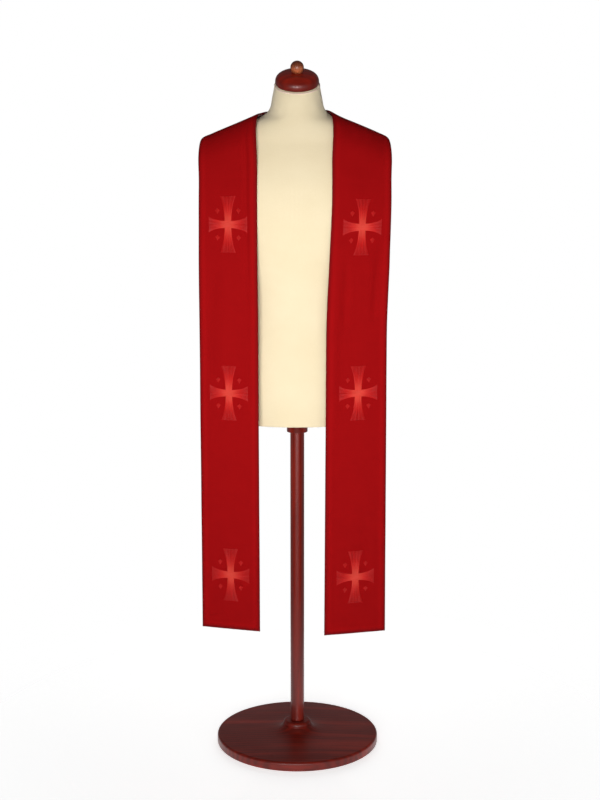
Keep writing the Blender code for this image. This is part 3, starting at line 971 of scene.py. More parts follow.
def cut_at_centre(mesh, side):
    """Cuts the wall off along the centre-back seam, and closes it."""
    wall = bmesh.new()
    wall.from_mesh(mesh)
    everything = wall.verts[:] + wall.edges[:] + wall.faces[:]
    plane = {"plane_co": (STOLE_OFF_CENTRE + side * SEAM_GAP / 2, 0, 0), "plane_no": (side, 0, 0)}
    cut = bmesh.ops.bisect_plane(wall, geom=everything, clear_inner=True, **plane)
    edges = [g for g in cut["geom_cut"] if isinstance(g, bmesh.types.BMEdge)]
    bmesh.ops.edgeloop_fill(wall, edges=edges)
    bmesh.ops.recalc_face_normals(wall, faces=wall.faces[:])
    wall.to_mesh(mesh)
    wall.free()


print("slots: face cloth", FACE_SLOT, "and lining", LINING_SLOT)

# %% [markdown]
# Besides the wall, each band leaves two guide sheets: its front and its back alone, with no
# thickness. They aren't part of the model. The embroidery and the hand sewing are laid out flat
# and then bent onto them, so each guide point knows its flat place and which way it faces.

# %% Make both bands and their guides


def guide_sheet(name, points, flat, facing):
    """A sheet that flat work is bent onto. No object uses it, so it is never seen."""
    tall, wide = points.shape[:2]
    mesh = new_mesh(name, points, corners(np.arange(tall * wide).reshape(tall, wide)).tolist())
    keep_on_points(mesh, "flat", "FLOAT_VECTOR", np.dstack([flat, np.zeros((tall, wide))]))
    keep_on_points(mesh, "facing", "FLOAT_VECTOR", facing)
    return mesh


def make_band(name):
    band = bands[name]
    along, across = grid_of(band)
    inward = across * band.width(along)
    up = along - band.hem
    points = shaped(name, along, across) + read_table(lifts[name], along, across)
    facing = normals_of(points, band.side)
    away = np.minimum(np.minimum(inward, band.width(along) - inward), up)
    from_seam = np.maximum(0, (points[:, :, 0] - STOLE_OFF_CENTRE) * band.side)
    front = points + facing * front_height(away, from_seam)[:, :, None]
    back = points + facing * back_height(away)[:, :, None]
    flat = np.stack([inward, up], axis=2)
    mesh = wall_mesh(f"{name}_band_cloth", front, back, flat, away, band.side)
    cut_at_centre(mesh, band.side)
    mesh.shade_smooth()
    guides = {
        "front": guide_sheet(f"{name}_front_guide", front, flat, facing),
        "back": guide_sheet(f"{name}_back_guide", back, flat, -facing),
    }
    return new_object(f"{name}_band_cloth", mesh), guides


cloth, guides = {}, {}
for name in bands:
    cloth[name], guides[name] = make_band(name)
    print(name, "band:", len(cloth[name].data.polygons), "faces")

# %% [markdown]
# ## Flat work, bent onto cloth
#
# Embroidery is a rule: hundreds of threads, each a little different. That is what Geometry
# Nodes are for. A tree here takes a guide sheet in and gives stitches out. Its sizes are named
# inputs, so one tree serves many places. It ends in Realize Instances and Set Material.

# %% The class for a tree of stitches


class Needlework(Tree):
    """A Geometry Nodes tree that turns a guide sheet into stitches that lie on it."""

    def __init__(self, name):
        super().__init__(bpy.data.node_groups.new(name, "GeometryNodeTree"))
        self.socket("Stitches", "OUTPUT", "Geometry")
        self.socket("Cloth", "INPUT", "Geometry")
        self.given = self.tree.nodes.new("NodeGroupInput")
        self.cloth = Signal(self, self.given.outputs["Cloth"])

    def socket(self, name, in_out, kind):
        """A socket of the tree itself."""
        return self.tree.interface.new_socket(name, in_out=in_out, socket_type="NodeSocket" + kind)

    def size(self, name, default, kind="Float"):
        """A named input of the tree."""
        self.socket(name, "INPUT", kind).default_value = default
        return Signal(self, self.given.outputs[name])

    def constant(self, value):
        """A plain number, for a helper that expects a Signal."""
        return self.maths("ADD", value, 0.0)

    def random(self, low, high, number, seed):
        """A random value that belongs to a number, the same on every run."""
        inputs = {2: low, 3: high, "ID": number, "Seed": seed}
        return self.node("FunctionNodeRandomValue", {"data_type": "FLOAT"}, inputs, output=1)

    def position(self):
        return self.separate(self.node("GeometryNodeInputPosition"))

    def realized(self, stitches):
        return self.node("GeometryNodeRealizeInstances", {}, {"Geometry": stitches})

    def join(self, parts):
        both = self.tree.nodes.new("GeometryNodeJoinGeometry")
        for part in reversed(parts):
            self.tree.links.new(part.socket, both.inputs[0])
        return Signal(self, both.outputs[0])

    def give(self, stitches, material):
        """Ends the tree."""
        inputs = {"Geometry": self.realized(stitches), "Material": material}
        done = self.node("GeometryNodeSetMaterial", {}, inputs)
        self.tree.links.new(done.socket, self.tree.nodes.new("NodeGroupOutput").inputs[0])


print("a tree of stitches can be built")

# %% [markdown]
# A tree runs as a modifier on a copy of the guide sheet. Its inputs are set by their sockets'
# identifiers, before anything is evaluated. What comes out is kept as a plain mesh and the
# modifier goes, so the stitches alone are left.

# %% Run a tree of stitches


def sew(work, name, guide, **sizes):
    """Runs the tree on a guide sheet and returns the stitches as an object."""
    worker = new_object(name, guide.copy())
    modifier = worker.modifiers.new("needlework", "NODES")
    modifier.node_group = work.tree
    for item in work.tree.interface.items_tree:
        if item.in_out == "INPUT" and item.name in sizes:
            modifier[item.identifier] = sizes[item.name]
    bpy.context.view_layer.update()
    finished = worker.evaluated_get(bpy.context.evaluated_depsgraph_get())
    result = bpy.data.meshes.new_from_object(finished)
    result.name = name
    worker.modifiers.clear()
    worker.data = result
    return worker


print("a tree of stitches can be run")

# %% [markdown]
# One stitch is a short thread with four sides. Its middle lies level and its ends narrow and
# dive into the cloth. There are tens of thousands, so this one mesh has only a few faces, and it
# is placed at points as instances, each with its own turn and size.

# %% One stitch, at many points
STITCH_SIDES = 4
STITCH_LEVEL = 0.75
STITCH_TAPER = 0.3
STITCH_DIVE = 0.55


def stitch(work):
    """A thread that is 1 long, 1 wide and 1 tall."""
    sizes = {"Vertices": STITCH_SIDES, "Side Segments": 3, "Radius": 0.5, "Depth": 1.0}
    upright = work.node("GeometryNodeMeshCylinder", {}, sizes)
    inputs = {"Geometry": upright, "Rotation": (0, math.pi / 2, 0)}
    thread = work.node("GeometryNodeTransform", {}, inputs)
    x, y, z = work.position()
    end = work.between(abs(x), 0.3, 0.5)
    stretch = 3 * STITCH_LEVEL
    along = x * (stretch - end * (stretch - 1))
    placed = work.combine(along, y * (1 - end * STITCH_TAPER), z - end * STITCH_DIVE)
    bent = work.node("GeometryNodeSetPosition", {}, {"Geometry": thread, "Position": placed})
    return work.node("GeometryNodeSetShadeSmooth", {}, {"Geometry": bent})


def stitches_at(work, count, place, turn, size):
    """Stitches at count places, turned about Z. size is their length, width and height."""
    inputs = {
        "Points": work.node("GeometryNodePoints", {}, {"Count": count, "Position": place}),
        "Instance": stitch(work),
        "Rotation": work.node("FunctionNodeEulerToRotation", {}, {0: work.combine(0.0, 0.0, turn)}),
        "Scale": work.combine(*size),
    }
    return work.node("GeometryNodeInstanceOnPoints", {}, inputs)


print("a stitch has", STITCH_SIDES * 3 + 2, "faces")

# %% [markdown]
# The stitches are laid out flat, as in an embroidery frame, with X across the band, Y up it and
# Z out of it. At the end each point looks up, on the guide sheet, where its flat place has gone
# and which way the cloth faces there. Then it moves there, and out by its own height.

# %% Bend flat stitches onto a guide sheet


def vector_kept(work, name):
    settings = {"data_type": "FLOAT_VECTOR"}
    return work.node("GeometryNodeInputNamedAttribute", settings, {"Name": name})


def on_guide(work, what, flat):
    """The guide's value at a flat place."""
    inputs = {"Mesh": work.cloth, "UV Map": vector_kept(work, "flat"), "Sample UV": flat}
    inputs["Value"] = vector_kept(work, what)
    return work.node("GeometryNodeSampleUVSurface", {"data_type": "FLOAT_VECTOR"}, inputs)


def lay(work, stitches, across, up, raised):
    """Bends flat stitches onto the guide sheet, round a place on it."""
    x, y, z = work.position()
    flat = work.combine(x + across, y + up)
    lifted = work.vectors("SCALE", on_guide(work, "facing", flat), Scale=z + raised)
    moved = work.vectors("ADD", on_guide(work, "position", flat), lifted)
    inputs = {"Geometry": work.realized(stitches), "Position": moved}
    return work.node("GeometryNodeSetPosition", {}, inputs)


print("a stitch can be laid on a guide sheet")

# %% [markdown]
# ## Thread
#
# Machine embroidery uses shiny thread. Its colour here runs from coral at the heart of each
# cross to the cloth's own red at the tips. That change is worked out by the tree of stitches
# and kept on each point as the attribute `shade`, and the material turns it into a colour with
# a ramp. The thread shines because it is smoother than the cloth.

# %% The embroidery thread
SHADE_STOPS = (
    (0.00, colour(166, 10, 12)),
    (0.35, colour(182, 18, 16)),
    (0.70, colour(197, 41, 34)),
    (1.00, colour(208, 66, 53)),
)


def embroidery_thread():
    finish = Finish("embroidery_thread", Specular_IOR_Level=0.22)
    place = finish.place()
    mottle = finish.noise(place, 900.0)
    tinted = finish.kept("shade") + (mottle - 0.5) * 0.16
    ramp = finish.node("ShaderNodeValToRGB", {"stops": SHADE_STOPS}, {"Fac": tinted})
    finish.feed("Base Color", ramp)
    finish.feed("Roughness", 0.42 + mottle * 0.16)
    finish.relief(finish.noise(place, 4200.0), 0.00012)
    return finish.material


thread = embroidery_thread()
print("thread:", thread.name)

# %% [markdown]
# ## The embroidered crosses
#
# Six crosses with flared arms, three on each band, are worked in satin stitch. Each arm is a
# leaf: slanting stitches run from its middle line to its edges, so it catches the light in two
# halves. Near the heart the arms share the space along the diagonals, and further out each one
# widens to its end. A long satin stitch would snag, so each is split in two at an uneven place.
# One function makes a leaf. It places points by their index alone, and a stitch on each.

# %% A leaf of satin stitch
STITCH_SPACING = 0.00050
STITCH_WIDTH = 0.00064
STITCH_HEIGHT = 0.0009
STITCH_OVERLAP = 0.0007
SATIN_SLANT = 0.42
PARTS_OF_STITCH = 2
SPLIT_SHARES = (0.36, 0.64)


def half_width_of_arm(work, out, slant, root, tip, length):
    """An arm's half width: the diagonal near the heart, then a flare from root to tip."""
    share = out / length
    return work.maths("MINIMUM", out / (1 - slant), root + (tip - root) * share * share)


def half_width_of_lozenge(work, out, slant, root, tip, length):
    """A lozenge's half width: widest in the middle and a point at both ends."""
    return root + (tip - root) * (1 - abs(out / length * 2 - 1))


def half_width_of_roundel(work, out, slant, root, tip, length):
    """A circle's half width, for a circle that is length across."""
    from_middle = out / length * 2 - 1
    never_below_0 = 1.0001
    return root + (tip - root) * work.maths("SQRT", never_below_0 - from_middle * from_middle)


def satin_leaf(work, length, root, tip, half_width_of, seed, slanting=SATIN_SLANT):
    """Slanting stitches on both sides of a middle line that runs along +X."""
    lines = work.maths("FLOOR", length / STITCH_SPACING)
    number = work.node("GeometryNodeInputIndex")
    line = work.maths("FLOOR", number / PARTS_OF_STITCH)
    part = number - line * PARTS_OF_STITCH
    out = (line + 0.5) * STITCH_SPACING
    share = out / length
    slant = (1 - share * share) * slanting
    half = half_width_of(work, out, slant, root, tip, length)
    long = half * work.maths("SQRT", slant * slant + 1)
    split = work.random(*SPLIT_SHARES, line, seed)
    start = part * split
    end = split + part * (1 - split)
    middle = half * (start + end) * 0.5
    size = (long * (end - start) + STITCH_OVERLAP, STITCH_WIDTH, STITCH_HEIGHT)
    halves = []
    for side in (1, -1):
        place = work.combine(out + middle * slant, middle * side)
        turn = work.maths("ARCTANGENT", 1 / slant) * side
        halves.append(stitches_at(work, lines * PARTS_OF_STITCH, place, turn, size))
    return work.join(halves)


print("a leaf 50 mm long takes", 2 * PARTS_OF_STITCH * int(0.05 / STITCH_SPACING), "stitches")

# %% [markdown]
# The cross puts the leaves together: two long arms, two short ones, four small lozenges in the
# corners and a roundel that covers the heart, where the arms' first stitches are crowded.

# %% Put the leaves together
ARM_ROOT = 0.0075
ARM_TIP = 0.0185
LOZENGE_LENGTH = 0.0125
LOZENGE_POINT = 0.0004
LOZENGE_HALF_WIDTH = 0.0052
LOZENGE_OUT = (0.0250, 0.0300)
ROUNDEL_RADIUS = 0.0050
ROUNDEL_END = 0.0003
ROUNDEL_SLANT = 0.01


def moved(work, stitches, place=(0, 0, 0), turn=0.0):
    inputs = {"Geometry": stitches, "Translation": place, "Rotation": (0, 0, turn)}
    return work.node("GeometryNodeTransform", {}, inputs)


def cross_leaves(work, upright, side_arm, seed):
    leaves = []
    for quarter, arm in enumerate((side_arm, upright, side_arm, upright)):
        leaf = satin_leaf(work, arm, ARM_ROOT, ARM_TIP, half_width_of_arm, seed + quarter)
        leaves.append(moved(work, leaf, turn=quarter * math.pi / 2))
    lozenge_widths = LOZENGE_POINT, LOZENGE_HALF_WIDTH, half_width_of_lozenge
    lozenge = satin_leaf(work, work.constant(LOZENGE_LENGTH), *lozenge_widths, seed + 4)
    for right in (-1, 1):
        for up in (-1, 1):
            place = (right * LOZENGE_OUT[0], up * LOZENGE_OUT[1] - LOZENGE_LENGTH / 2, 0)
            leaves.append(moved(work, lozenge, place, math.pi / 2))
    roundel_widths = ROUNDEL_END, ROUNDEL_RADIUS, half_width_of_roundel
    across = work.constant(2 * ROUNDEL_RADIUS)
    roundel = satin_leaf(work, across, *roundel_widths, seed + 5, ROUNDEL_SLANT)
    leaves.append(moved(work, roundel, (-ROUNDEL_RADIUS, 0, STITCH_HEIGHT * 0.4)))
    return leaves


print("a roundel", 2 * ROUNDEL_RADIUS * 1000, "mm across covers the heart of a cross")

# %% [markdown]
# While the work is still flat, each point gets its shade by how far out it lies. Then it is
# laid on the cloth. The six crosses use one tree, and differ in their centre and their seed.

# %% One tree for every cross
UPRIGHT_ARM = 0.0630
SIDE_ARM = 0.0455
SHADE_FALL = (0.05, 1.0)  # shares of an arm's length
EMBROIDERY_RAISED = 0.00012


def cross_tree():
    work = Needlework("cross")
    across, up = work.size("Across", 0.07), work.size("Up", 0.5)
    upright, side_arm = work.size("Upright arm", UPRIGHT_ARM), work.size("Side arm", SIDE_ARM)
    seed = work.size("Seed", 1, kind="Int")
    flat = work.realized(work.join(cross_leaves(work, upright, side_arm, seed)))
    x, y, _ = work.position()
    far = work.maths("SQRT", (x / side_arm) ** 2 + (y / upright) ** 2)
    inputs = {"Geometry": flat, "Name": "shade", "Value": 1 - work.between(far, *SHADE_FALL)}
    settings = {"data_type": "FLOAT", "domain": "POINT"}
    shaded = work.node("GeometryNodeStoreNamedAttribute", settings, inputs)
    work.give(lay(work, shaded, across, up, EMBROIDERY_RAISED), thread)
    return work


cross_work = cross_tree()
print("the tree of a cross has", len(cross_work.tree.nodes), "nodes")

# %% [markdown]
# The table says where the middle of each cross lies: how far in from the band's edge by the
# neck, and how far up from the hem. On the band at the wearer's right, flat work is mirrored,
# which turns its faces inwards, so they are flipped back.

# %% Work the six crosses
CROSSES = (
    # name, band, across, up
    ("right_upper_cross", "right", 0.068, 0.946),
    ("right_middle_cross", "right", 0.070, 0.563),
    ("right_lower_cross", "right", 0.070, 0.132),
    ("left_upper_cross", "left", 0.073, 0.950),
    ("left_middle_cross", "left", 0.076, 0.573),
    ("left_lower_cross", "left", 0.074, 0.137),
)


def work_cross(number, name, side, across, up):
    sizes = {"Across": across, "Up": up, "Seed": 10 * number}
    made = sew(cross_work, name, guides[side]["front"], **sizes)
    if bands[side].side < 0:
        made.data.flip_normals()
    return made


crosses = {row[0]: work_cross(number, *row) for number, row in enumerate(CROSSES)}
for name, made in crosses.items():
    print(name, len(made.data.polygons), "faces")

# %% [markdown]
# ## Sewing the lining down
#
# The lining's fold is held to the turned-in cloth by slip stitches: a short thread shows every
# seven millimetres or so. The tree puts them on a line, at a small slant to it.

# %% Slip stitches along a line
SLIP_SPACING = 0.007
SLIP_LENGTH = 0.0026
SLIP_THREAD = 0.00045
SLIP_TURN = 0.5
SLIP_LOOSE = 0.12


def slip_tree(material):
    work = Needlework("slip_stitches")
    across, up = work.size("Across", 0.0), work.size("Up", 0.0)
    run_across, run_up = work.size("Run across", 0.0), work.size("Run up", 1.0)
    narrowing = work.size("Narrowing", 0.0)
    count = work.size("Stitches", 10, kind="Int")
    seed = work.size("Seed", 1, kind="Int")
    number = work.node("GeometryNodeInputIndex")
    loose = work.random(-SLIP_LOOSE, SLIP_LOOSE, number, seed)
    share = (number + 0.5 + loose) / count
    place = work.combine(run_across * share + narrowing * share, run_up * share)
    turn = work.maths("ARCTAN2", run_up, run_across) + SLIP_TURN + loose
    size = (SLIP_LENGTH * (1 + loose), SLIP_THREAD, SLIP_THREAD)
    stitches = stitches_at(work, count, place, turn, size)
    work.give(lay(work, stitches, across, up, SLIP_THREAD / 3), material)
    return work


def sewing_thread():
    finish = Finish("sewing_thread", Roughness=0.5, Sheen_Weight=0.2)
    place = finish.place()
    mottle = finish.noise(place, 700.0)
    finish.feed("Base Color", finish.mix(mottle, colour(96, 8, 12), colour(140, 16, 20)))
    finish.relief(finish.noise(place, 5000.0), 0.0001)
    return finish.material


slip_work = slip_tree(sewing_thread())
print("slip stitches are", SLIP_LENGTH * 1000, "mm long and", SLIP_SPACING * 1000, "mm apart")

# %% [markdown]
# Each band has three lines of stitches, up both edges and along the hem. They are joined into
# one piece. Their ends stay a little short of the corners, where the fold is sewn under. The
# line up the outer edge follows it as the band narrows.

# %% Sew both linings
SLIP_IN = 0.0034
SLIP_ENDS = 0.012


def slip_lines(band):
    """Three lines: where each starts, how far it runs, and by how much the band narrows there."""
    wide = float(band.width(band.hem))
    inner_top, outer_top = (float(band.seam_along(np.array(share))) for share in (0.0, 1.0))
    short = band.hem + 2 * SLIP_ENDS
    narrowing = float(band.width(outer_top)) - wide
    return (
        # across, up, run across, run up, narrowing
        (SLIP_IN, SLIP_ENDS, 0.0, inner_top - short, 0.0),
        (wide - SLIP_IN, SLIP_ENDS, 0.0, outer_top - short, narrowing),
        (SLIP_ENDS, SLIP_IN, wide - 2 * SLIP_ENDS, 0.0, 0.0),
    )


def sew_lining(name):
    sewn = []
    for number, line in enumerate(slip_lines(bands[name])):
        sizes = dict(zip(("Across", "Up", "Run across", "Run up", "Narrowing"), line))
        run = math.hypot(sizes["Run across"], sizes["Run up"])
        sizes |= {"Seed": number + 1, "Stitches": round(run / SLIP_SPACING)}
        sewn.append(sew(slip_work, f"{name}_slip_{number}", guides[name]["back"], **sizes))
    return joined(f"{name}_lining_stitches", sewn, flip=bands[name].side > 0)


def joined(name, things, flip=False):
    """One object from several, with their materials."""
    together = bmesh.new()
    for thing in things:
        together.from_mesh(thing.data)
    mesh = bpy.data.meshes.new(name)
    together.to_mesh(mesh)
    together.free()
    for material in things[0].data.materials:
        mesh.materials.append(material)
    if flip:
        mesh.flip_normals()
    for thing in things:
        bpy.data.objects.remove(thing, do_unlink=True)
    return new_object(name, mesh)


lining_stitches = {name: sew_lining(name) for name in bands}
for name, made in lining_stitches.items():
    print(name, "lining is held by stitches of", len(made.data.polygons), "faces in all")

# %% [markdown]
# ## Red cloth
#
# The face is a smooth, matt wool-like cloth. Its weave follows the band's own map, which is in
# metres, so a thread keeps its size over the bend at the shoulder. Warp and weft are two sine
# waves at right angles, and a crossing stands up where both do. Slubs are noise stretched along
# one set of threads and then the other. Painted shade darkens the cloth along its edges, where
# the rolled edge turns away from the light, and most of all along its hem. A painted highlight
# lightens a strip just inside the edges. How far each point is from the edge is kept on the mesh.

# %% The face cloth
WARP_PITCH = 0.00065
WEFT_PITCH = 0.00075


def woven(finish, warp_pitch, weft_pitch):
    """Coordinates on the cloth and the height of its weave, from 0 to 1."""
    cloth_map = finish.mapped("cloth")
    across, up, _ = finish.separate(cloth_map)
    warp = finish.maths("SINE", across * (2 * math.pi / warp_pitch))
    weft = finish.maths("SINE", up * (2 * math.pi / weft_pitch))
    return cloth_map, across, up, (warp * weft + 1) * 0.5


def slubs(finish, across, up):
    """Thick and thin places in the threads of both directions, from 0 to 1."""
    long_warp = finish.noise(finish.combine(across * 900, up * 14), 1.0)
    long_weft = finish.noise(finish.combine(across * 12, up * 800), 1.0)
    return (long_warp + long_weft) * 0.5


def face_cloth():
    finish = Finish("red_face_cloth", Sheen_Weight=0.0, Specular_IOR_Level=0.06)
    cloth_map, across, up, weave = woven(finish, WARP_PITCH, WEFT_PITCH)
    thick = slubs(finish, across, up)
    worn = finish.noise(cloth_map, 22.0, detail=4.0)
    away = finish.kept("away")
    # Painted shade along every edge, where the rolled edge turns away from the light.
    painted_edge_shade = 1 - finish.between(away, -0.0020, 0.0095)
    # Painted shade: the last 12.5 mm above the hem are darkened.
    hem = 1 - finish.between(up, 0.0, 0.0125)
    # Painted highlight on a strip just inside the edges.
    painted_edge_highlight = finish.between(away, 0.0070, 0.0105) * (1 - finish.between(away, 0.0130, 0.0200))
    base = finish.mix(thick, colour(137, 3, 6), colour(155, 9, 12))
    base = finish.mix((worn - 0.4) * 0.5, base, colour(128, 2, 6))
    base = finish.mix(painted_edge_highlight * 0.18, base, colour(172, 12, 16))
    base = finish.mix(hem * 0.45, base, colour(96, 8, 12))
    finish.feed("Base Color", finish.mix(painted_edge_shade * 0.85, base, colour(90, 8, 12)))
    finish.feed("Roughness", 0.80 + thick * 0.12 - painted_edge_shade * 0.06)
    finish.relief(weave * 0.5 + thick * 0.5, 0.00016)
    return finish.material


print("warp threads are", WARP_PITCH * 1000, "mm apart")

# %% [markdown]
# The lining is a thinner, smoother satin in a deeper red. Satin shows no crossings, only fine
# lines along the warp, and it shines more.

# %% The lining


def lining_satin():
    finish = Finish("red_lining_satin", Sheen_Weight=0.1, Sheen_Roughness=0.4)
    cloth_map, across, up, _ = woven(finish, 0.0004, 0.0004)
    lines = finish.noise(finish.combine(across * 2200, up * 40), 1.0)
    worn = finish.noise(cloth_map, 15.0, detail=3.0)
    finish.feed("Base Color", finish.mix(lines, colour(112, 4, 10), colour(136, 8, 14)))
    finish.feed("Roughness", 0.36 + worn * 0.14 + lines * 0.06)
    finish.relief(lines, 0.00006)
    return finish.material


face, lining = face_cloth(), lining_satin()
for made in cloth.values():
    made.data.materials.append(face)
    made.data.materials.append(lining)
print("cloth materials:", face.name, lining.name)

# %% [markdown]
# ## Knitted cover
#
# The form wears a fine cotton jersey, unbleached, the colour of cream. Jersey has upright
# columns of loops. Each column is a rounded rib, and within it every loop is a small V. The
# rib is a wave across the knit and the loops are a wave up it, shifted by how far a point is
# from the column's middle, which slants them both ways. The seams are already in the mesh.

# %% The jersey
RIB_PITCH = 0.0013
LOOP_PITCH = 0.0011


def cream_jersey():
    finish = Finish("cream_jersey", Sheen_Weight=0.25, Sheen_Roughness=0.5, Specular_IOR_Level=0.3)
    cloth_map = finish.mapped("cloth")
    across, up, _ = finish.separate(cloth_map)
    rib = abs(finish.maths("SINE", across * (math.pi / RIB_PITCH)))
    loops = finish.maths("SINE", (up - rib * LOOP_PITCH * 0.6) * (2 * math.pi / LOOP_PITCH))
    knit = rib * 0.65 + loops * 0.2 + 0.15
    uneven = finish.noise(cloth_map, 9.0, detail=5.0, roughness=0.6)
    lint = finish.noise(cloth_map, 420.0)
    base = finish.mix(uneven, colour(226, 209, 172), colour(238, 224, 192))
    # Painted shade in the hollows between the knit's ribs and loops.
    base = finish.mix((1 - knit) * 0.35, base, colour(196, 176, 136))
    finish.feed("Base Color", finish.mix((lint - 0.5) * 0.4, base, colour(246, 238, 216)))
    finish.feed("Roughness", 0.86 + lint * 0.1)
    finish.relief(knit * 0.8 + lint * 0.2, 0.00022)
    return finish.material


jersey = cream_jersey()
form_cover.data.materials.append(jersey)
print("jersey ribs are", RIB_PITCH * 1000, "mm apart")

# %% [markdown]
# ## The neck's binding
#
# Where the cover ends under the wooden cap, its raw edge is bound with a narrow tape. The tape
# is a closed loop: a small rounded section, carried round the neck's last ring. Reading the
# ring's own numbers keeps it parallel to the rim, tilt and all.

# %% Bind the neck
BINDING_RIBS = 300
BINDING_SECTION = (
    # below the rim, out from the cover
    (0.0046, -0.0003),
    (0.0045, 0.0005),
    (0.0040, 0.0009),
    (0.0028, 0.0011),
    (0.0016, 0.0009),
    (0.0011, 0.0004),
    (0.0010, -0.0003),
)


def make_binding():
    below_top, top = form_rows()[-2:]
    angles = np.linspace(0, 2 * math.pi, 2 * POINTS_ROUND, endpoint=False)
    rings = []
    for below, out in BINDING_SECTION:
        row = top + (below_top - top) * (below / (top[0] - below_top[0]))
        rings.append(form_ring(row, angles, -out))
    index = closed(np.arange(len(rings) * len(angles)).reshape(len(rings), -1))
    index = np.vstack([index, index[:1]])
    tall, wide = index.shape
    places = np.stack(np.meshgrid(np.linspace(0, 1, wide), np.linspace(0, 1, tall)), axis=2)
    mesh = new_mesh("neck_binding", rings, corners(index).tolist(), "tape", corners(places))
    return new_object("neck_binding", mesh)


def binding_tape():
    finish = Finish("binding_tape", Sheen_Weight=0.2, Specular_IOR_Level=0.3)
    round_it, _, _ = finish.separate(finish.mapped("tape"))
    ribs = finish.maths("SINE", round_it * (2 * math.pi * BINDING_RIBS))
    mottle = finish.noise(finish.place(), 160.0)
    # The cream tape is tinted pink: a painted reflection of the red-brown cap above it.
    finish.feed("Base Color", finish.mix(mottle, colour(222, 190, 170), colour(236, 214, 196)))
    finish.feed("Roughness", 0.7 + mottle * 0.15)
    finish.relief(ribs * 0.5 + mottle, 0.00015)
    return finish.material


neck_binding = make_binding()
neck_binding.data.materials.append(binding_tape())
print("binding stands out by", max(out for _, out in BINDING_SECTION) * 1000, "mm")

# %% [markdown]
# ## Turned wood
#
# The cap, the knob, the flange, the pole and the base are turned on a lathe: one profile, spun
# about an axis. Each profile is a list of radius and height from the top down, made of straight
# runs and arcs, and `turned` joins a ring for each of its points. The first and the last point
# lie on the axis, and the faces there are triangles that meet in one point, so the poles are
# closed. The cap and its knob lean forward with the neck, so their place is a frame that is
# tilted by the same angle, and the points themselves are moved into it.

# %% Profiles and the lathe
CAP_RADIUS = 0.0498
CAP_HEIGHT = 0.0280
KNOB_RADIUS = 0.0153
POLE_RADIUS = 0.0165
BASE_RADIUS = 0.195
BASE_RIM_HEIGHT = 0.022
BASE_HUB_RADIUS = 0.034
BASE_HUB_HEIGHT = 0.052
FLANGE_RADIUS = 0.062
FLANGE_HEIGHT = 0.030
LATHE_STEPS = 128
SHARP_TURN = math.radians(40)


def arc(centre, radius, start, end, steps):
    """Points on an arc, angles in degrees from +X towards +Z."""
    angles = np.radians(np.linspace(start, end, steps + 1))
    return [(centre[0] + radius * math.cos(a), centre[1] + radius * math.sin(a)) for a in angles]


def turned(name, profile, tilt=0.0, place=(0.0, 0.0, 0.0)):
    """A turned piece: the profile runs from the top of the axis down its outer side."""
    steps = np.linspace(0, 2 * math.pi, LATHE_STEPS, endpoint=False)
    points = [(0.0, 0.0, profile[0][1])]
    for radius, height in profile[1:-1]:
        points += [(radius * math.cos(a), radius * math.sin(a), height) for a in steps]
    points.append((0.0, 0.0, profile[-1][1]))
    last = len(points) - 1
    rings = closed(np.arange(1, last).reshape(-1, LATHE_STEPS))[:, ::-1]
    faces = corners(rings).tolist()
    for after, before in zip(rings.T[:-1].tolist(), rings.T[1:].tolist()):
        faces += [(0, before[0], after[0]), (last, after[-1], before[-1])]
    mesh = new_mesh(name, points, faces)
    mesh.transform(Euler((tilt, 0, 0)).to_matrix().to_4x4())
    mesh.transform(Matrix.Translation(place))
    mesh.set_sharp_from_angle(angle=SHARP_TURN)
    return new_object(name, mesh)


print("the lathe turns", LATHE_STEPS, "steps")

# %% [markdown]
# The cap is a flattened dome on a short straight foot. Its outline is a superellipse, which is
# an oval with squarer shoulders: the sine and cosine of a turning angle are raised to two over
# the power. The knob is a ball that is cut flat below. Both sit a hair above what carries them,
# as separate turned pieces do.

# %% Turn the cap and the knob
CAP_FOOT = 0.0030
CAP_SQUARENESS = 2.8
KNOB_CENTRE = 0.0106


def neck_top():
    """The middle of the neck's tilted top."""
    height, _, side, front, back, _, _ = FORM_RINGS[-1][1:]
    middle = (front + back) / 2
    return Vector((0.0, middle, height + (middle - side) * math.tan(NECK_TILT)))


def up_the_neck(rise):
    return neck_top() + Vector((0, -math.sin(NECK_TILT), math.cos(NECK_TILT))) * rise


def make_cap():
    dome = CAP_HEIGHT - CAP_FOOT
    turns = np.radians(np.linspace(88, 0, 45))
    power = 2 / CAP_SQUARENESS
    out, up = CAP_RADIUS * np.cos(turns) ** power, CAP_FOOT + dome * np.sin(turns) ** power
    profile = [(0.0, CAP_HEIGHT), *zip(out, up)]
    profile += arc((CAP_RADIUS - CAP_FOOT, CAP_FOOT), CAP_FOOT, -10, -90, 8)
    profile.append((0.0, 0.0))
    return turned("cap", profile, NECK_TILT, up_the_neck(SEAM_GAP))


def make_knob():
    cut = -math.degrees(math.asin(KNOB_CENTRE / KNOB_RADIUS))
    profile = arc((0.0, KNOB_CENTRE), KNOB_RADIUS, 90, cut, 36)
    profile[0] = (0.0, profile[0][1])
    profile.append((0.0, 0.0))
    return turned("knob", profile, NECK_TILT, up_the_neck(CAP_HEIGHT + 2 * SEAM_GAP))


cap, knob = make_cap(), make_knob()
print("cap and knob lean", round(math.degrees(NECK_TILT), 1), "degrees forward")

# %% [markdown]
# The stand is plain: a flange screwed under the form, a straight pole, and a dished round base
# that is wide enough to keep it all upright. Sharp turned edges are broken with a small arc,
# because a real lathe tool and sandpaper leave none, and a broken edge is what catches light.

# %% Turn the flange and the pole
FORM_BOTTOM = FORM_RINGS[0][1]
EDGE_BREAK = 0.0012
LOWER_EDGE = 0.003
FLANGE_SIDE = 0.005
BOSS_WALL = 0.008
FLANGE_HOLLOW = (
    # out from the boss, height below the top
    (0.010, -0.009),
    (0.004, -0.0125),
    (0.0, -0.018),
)


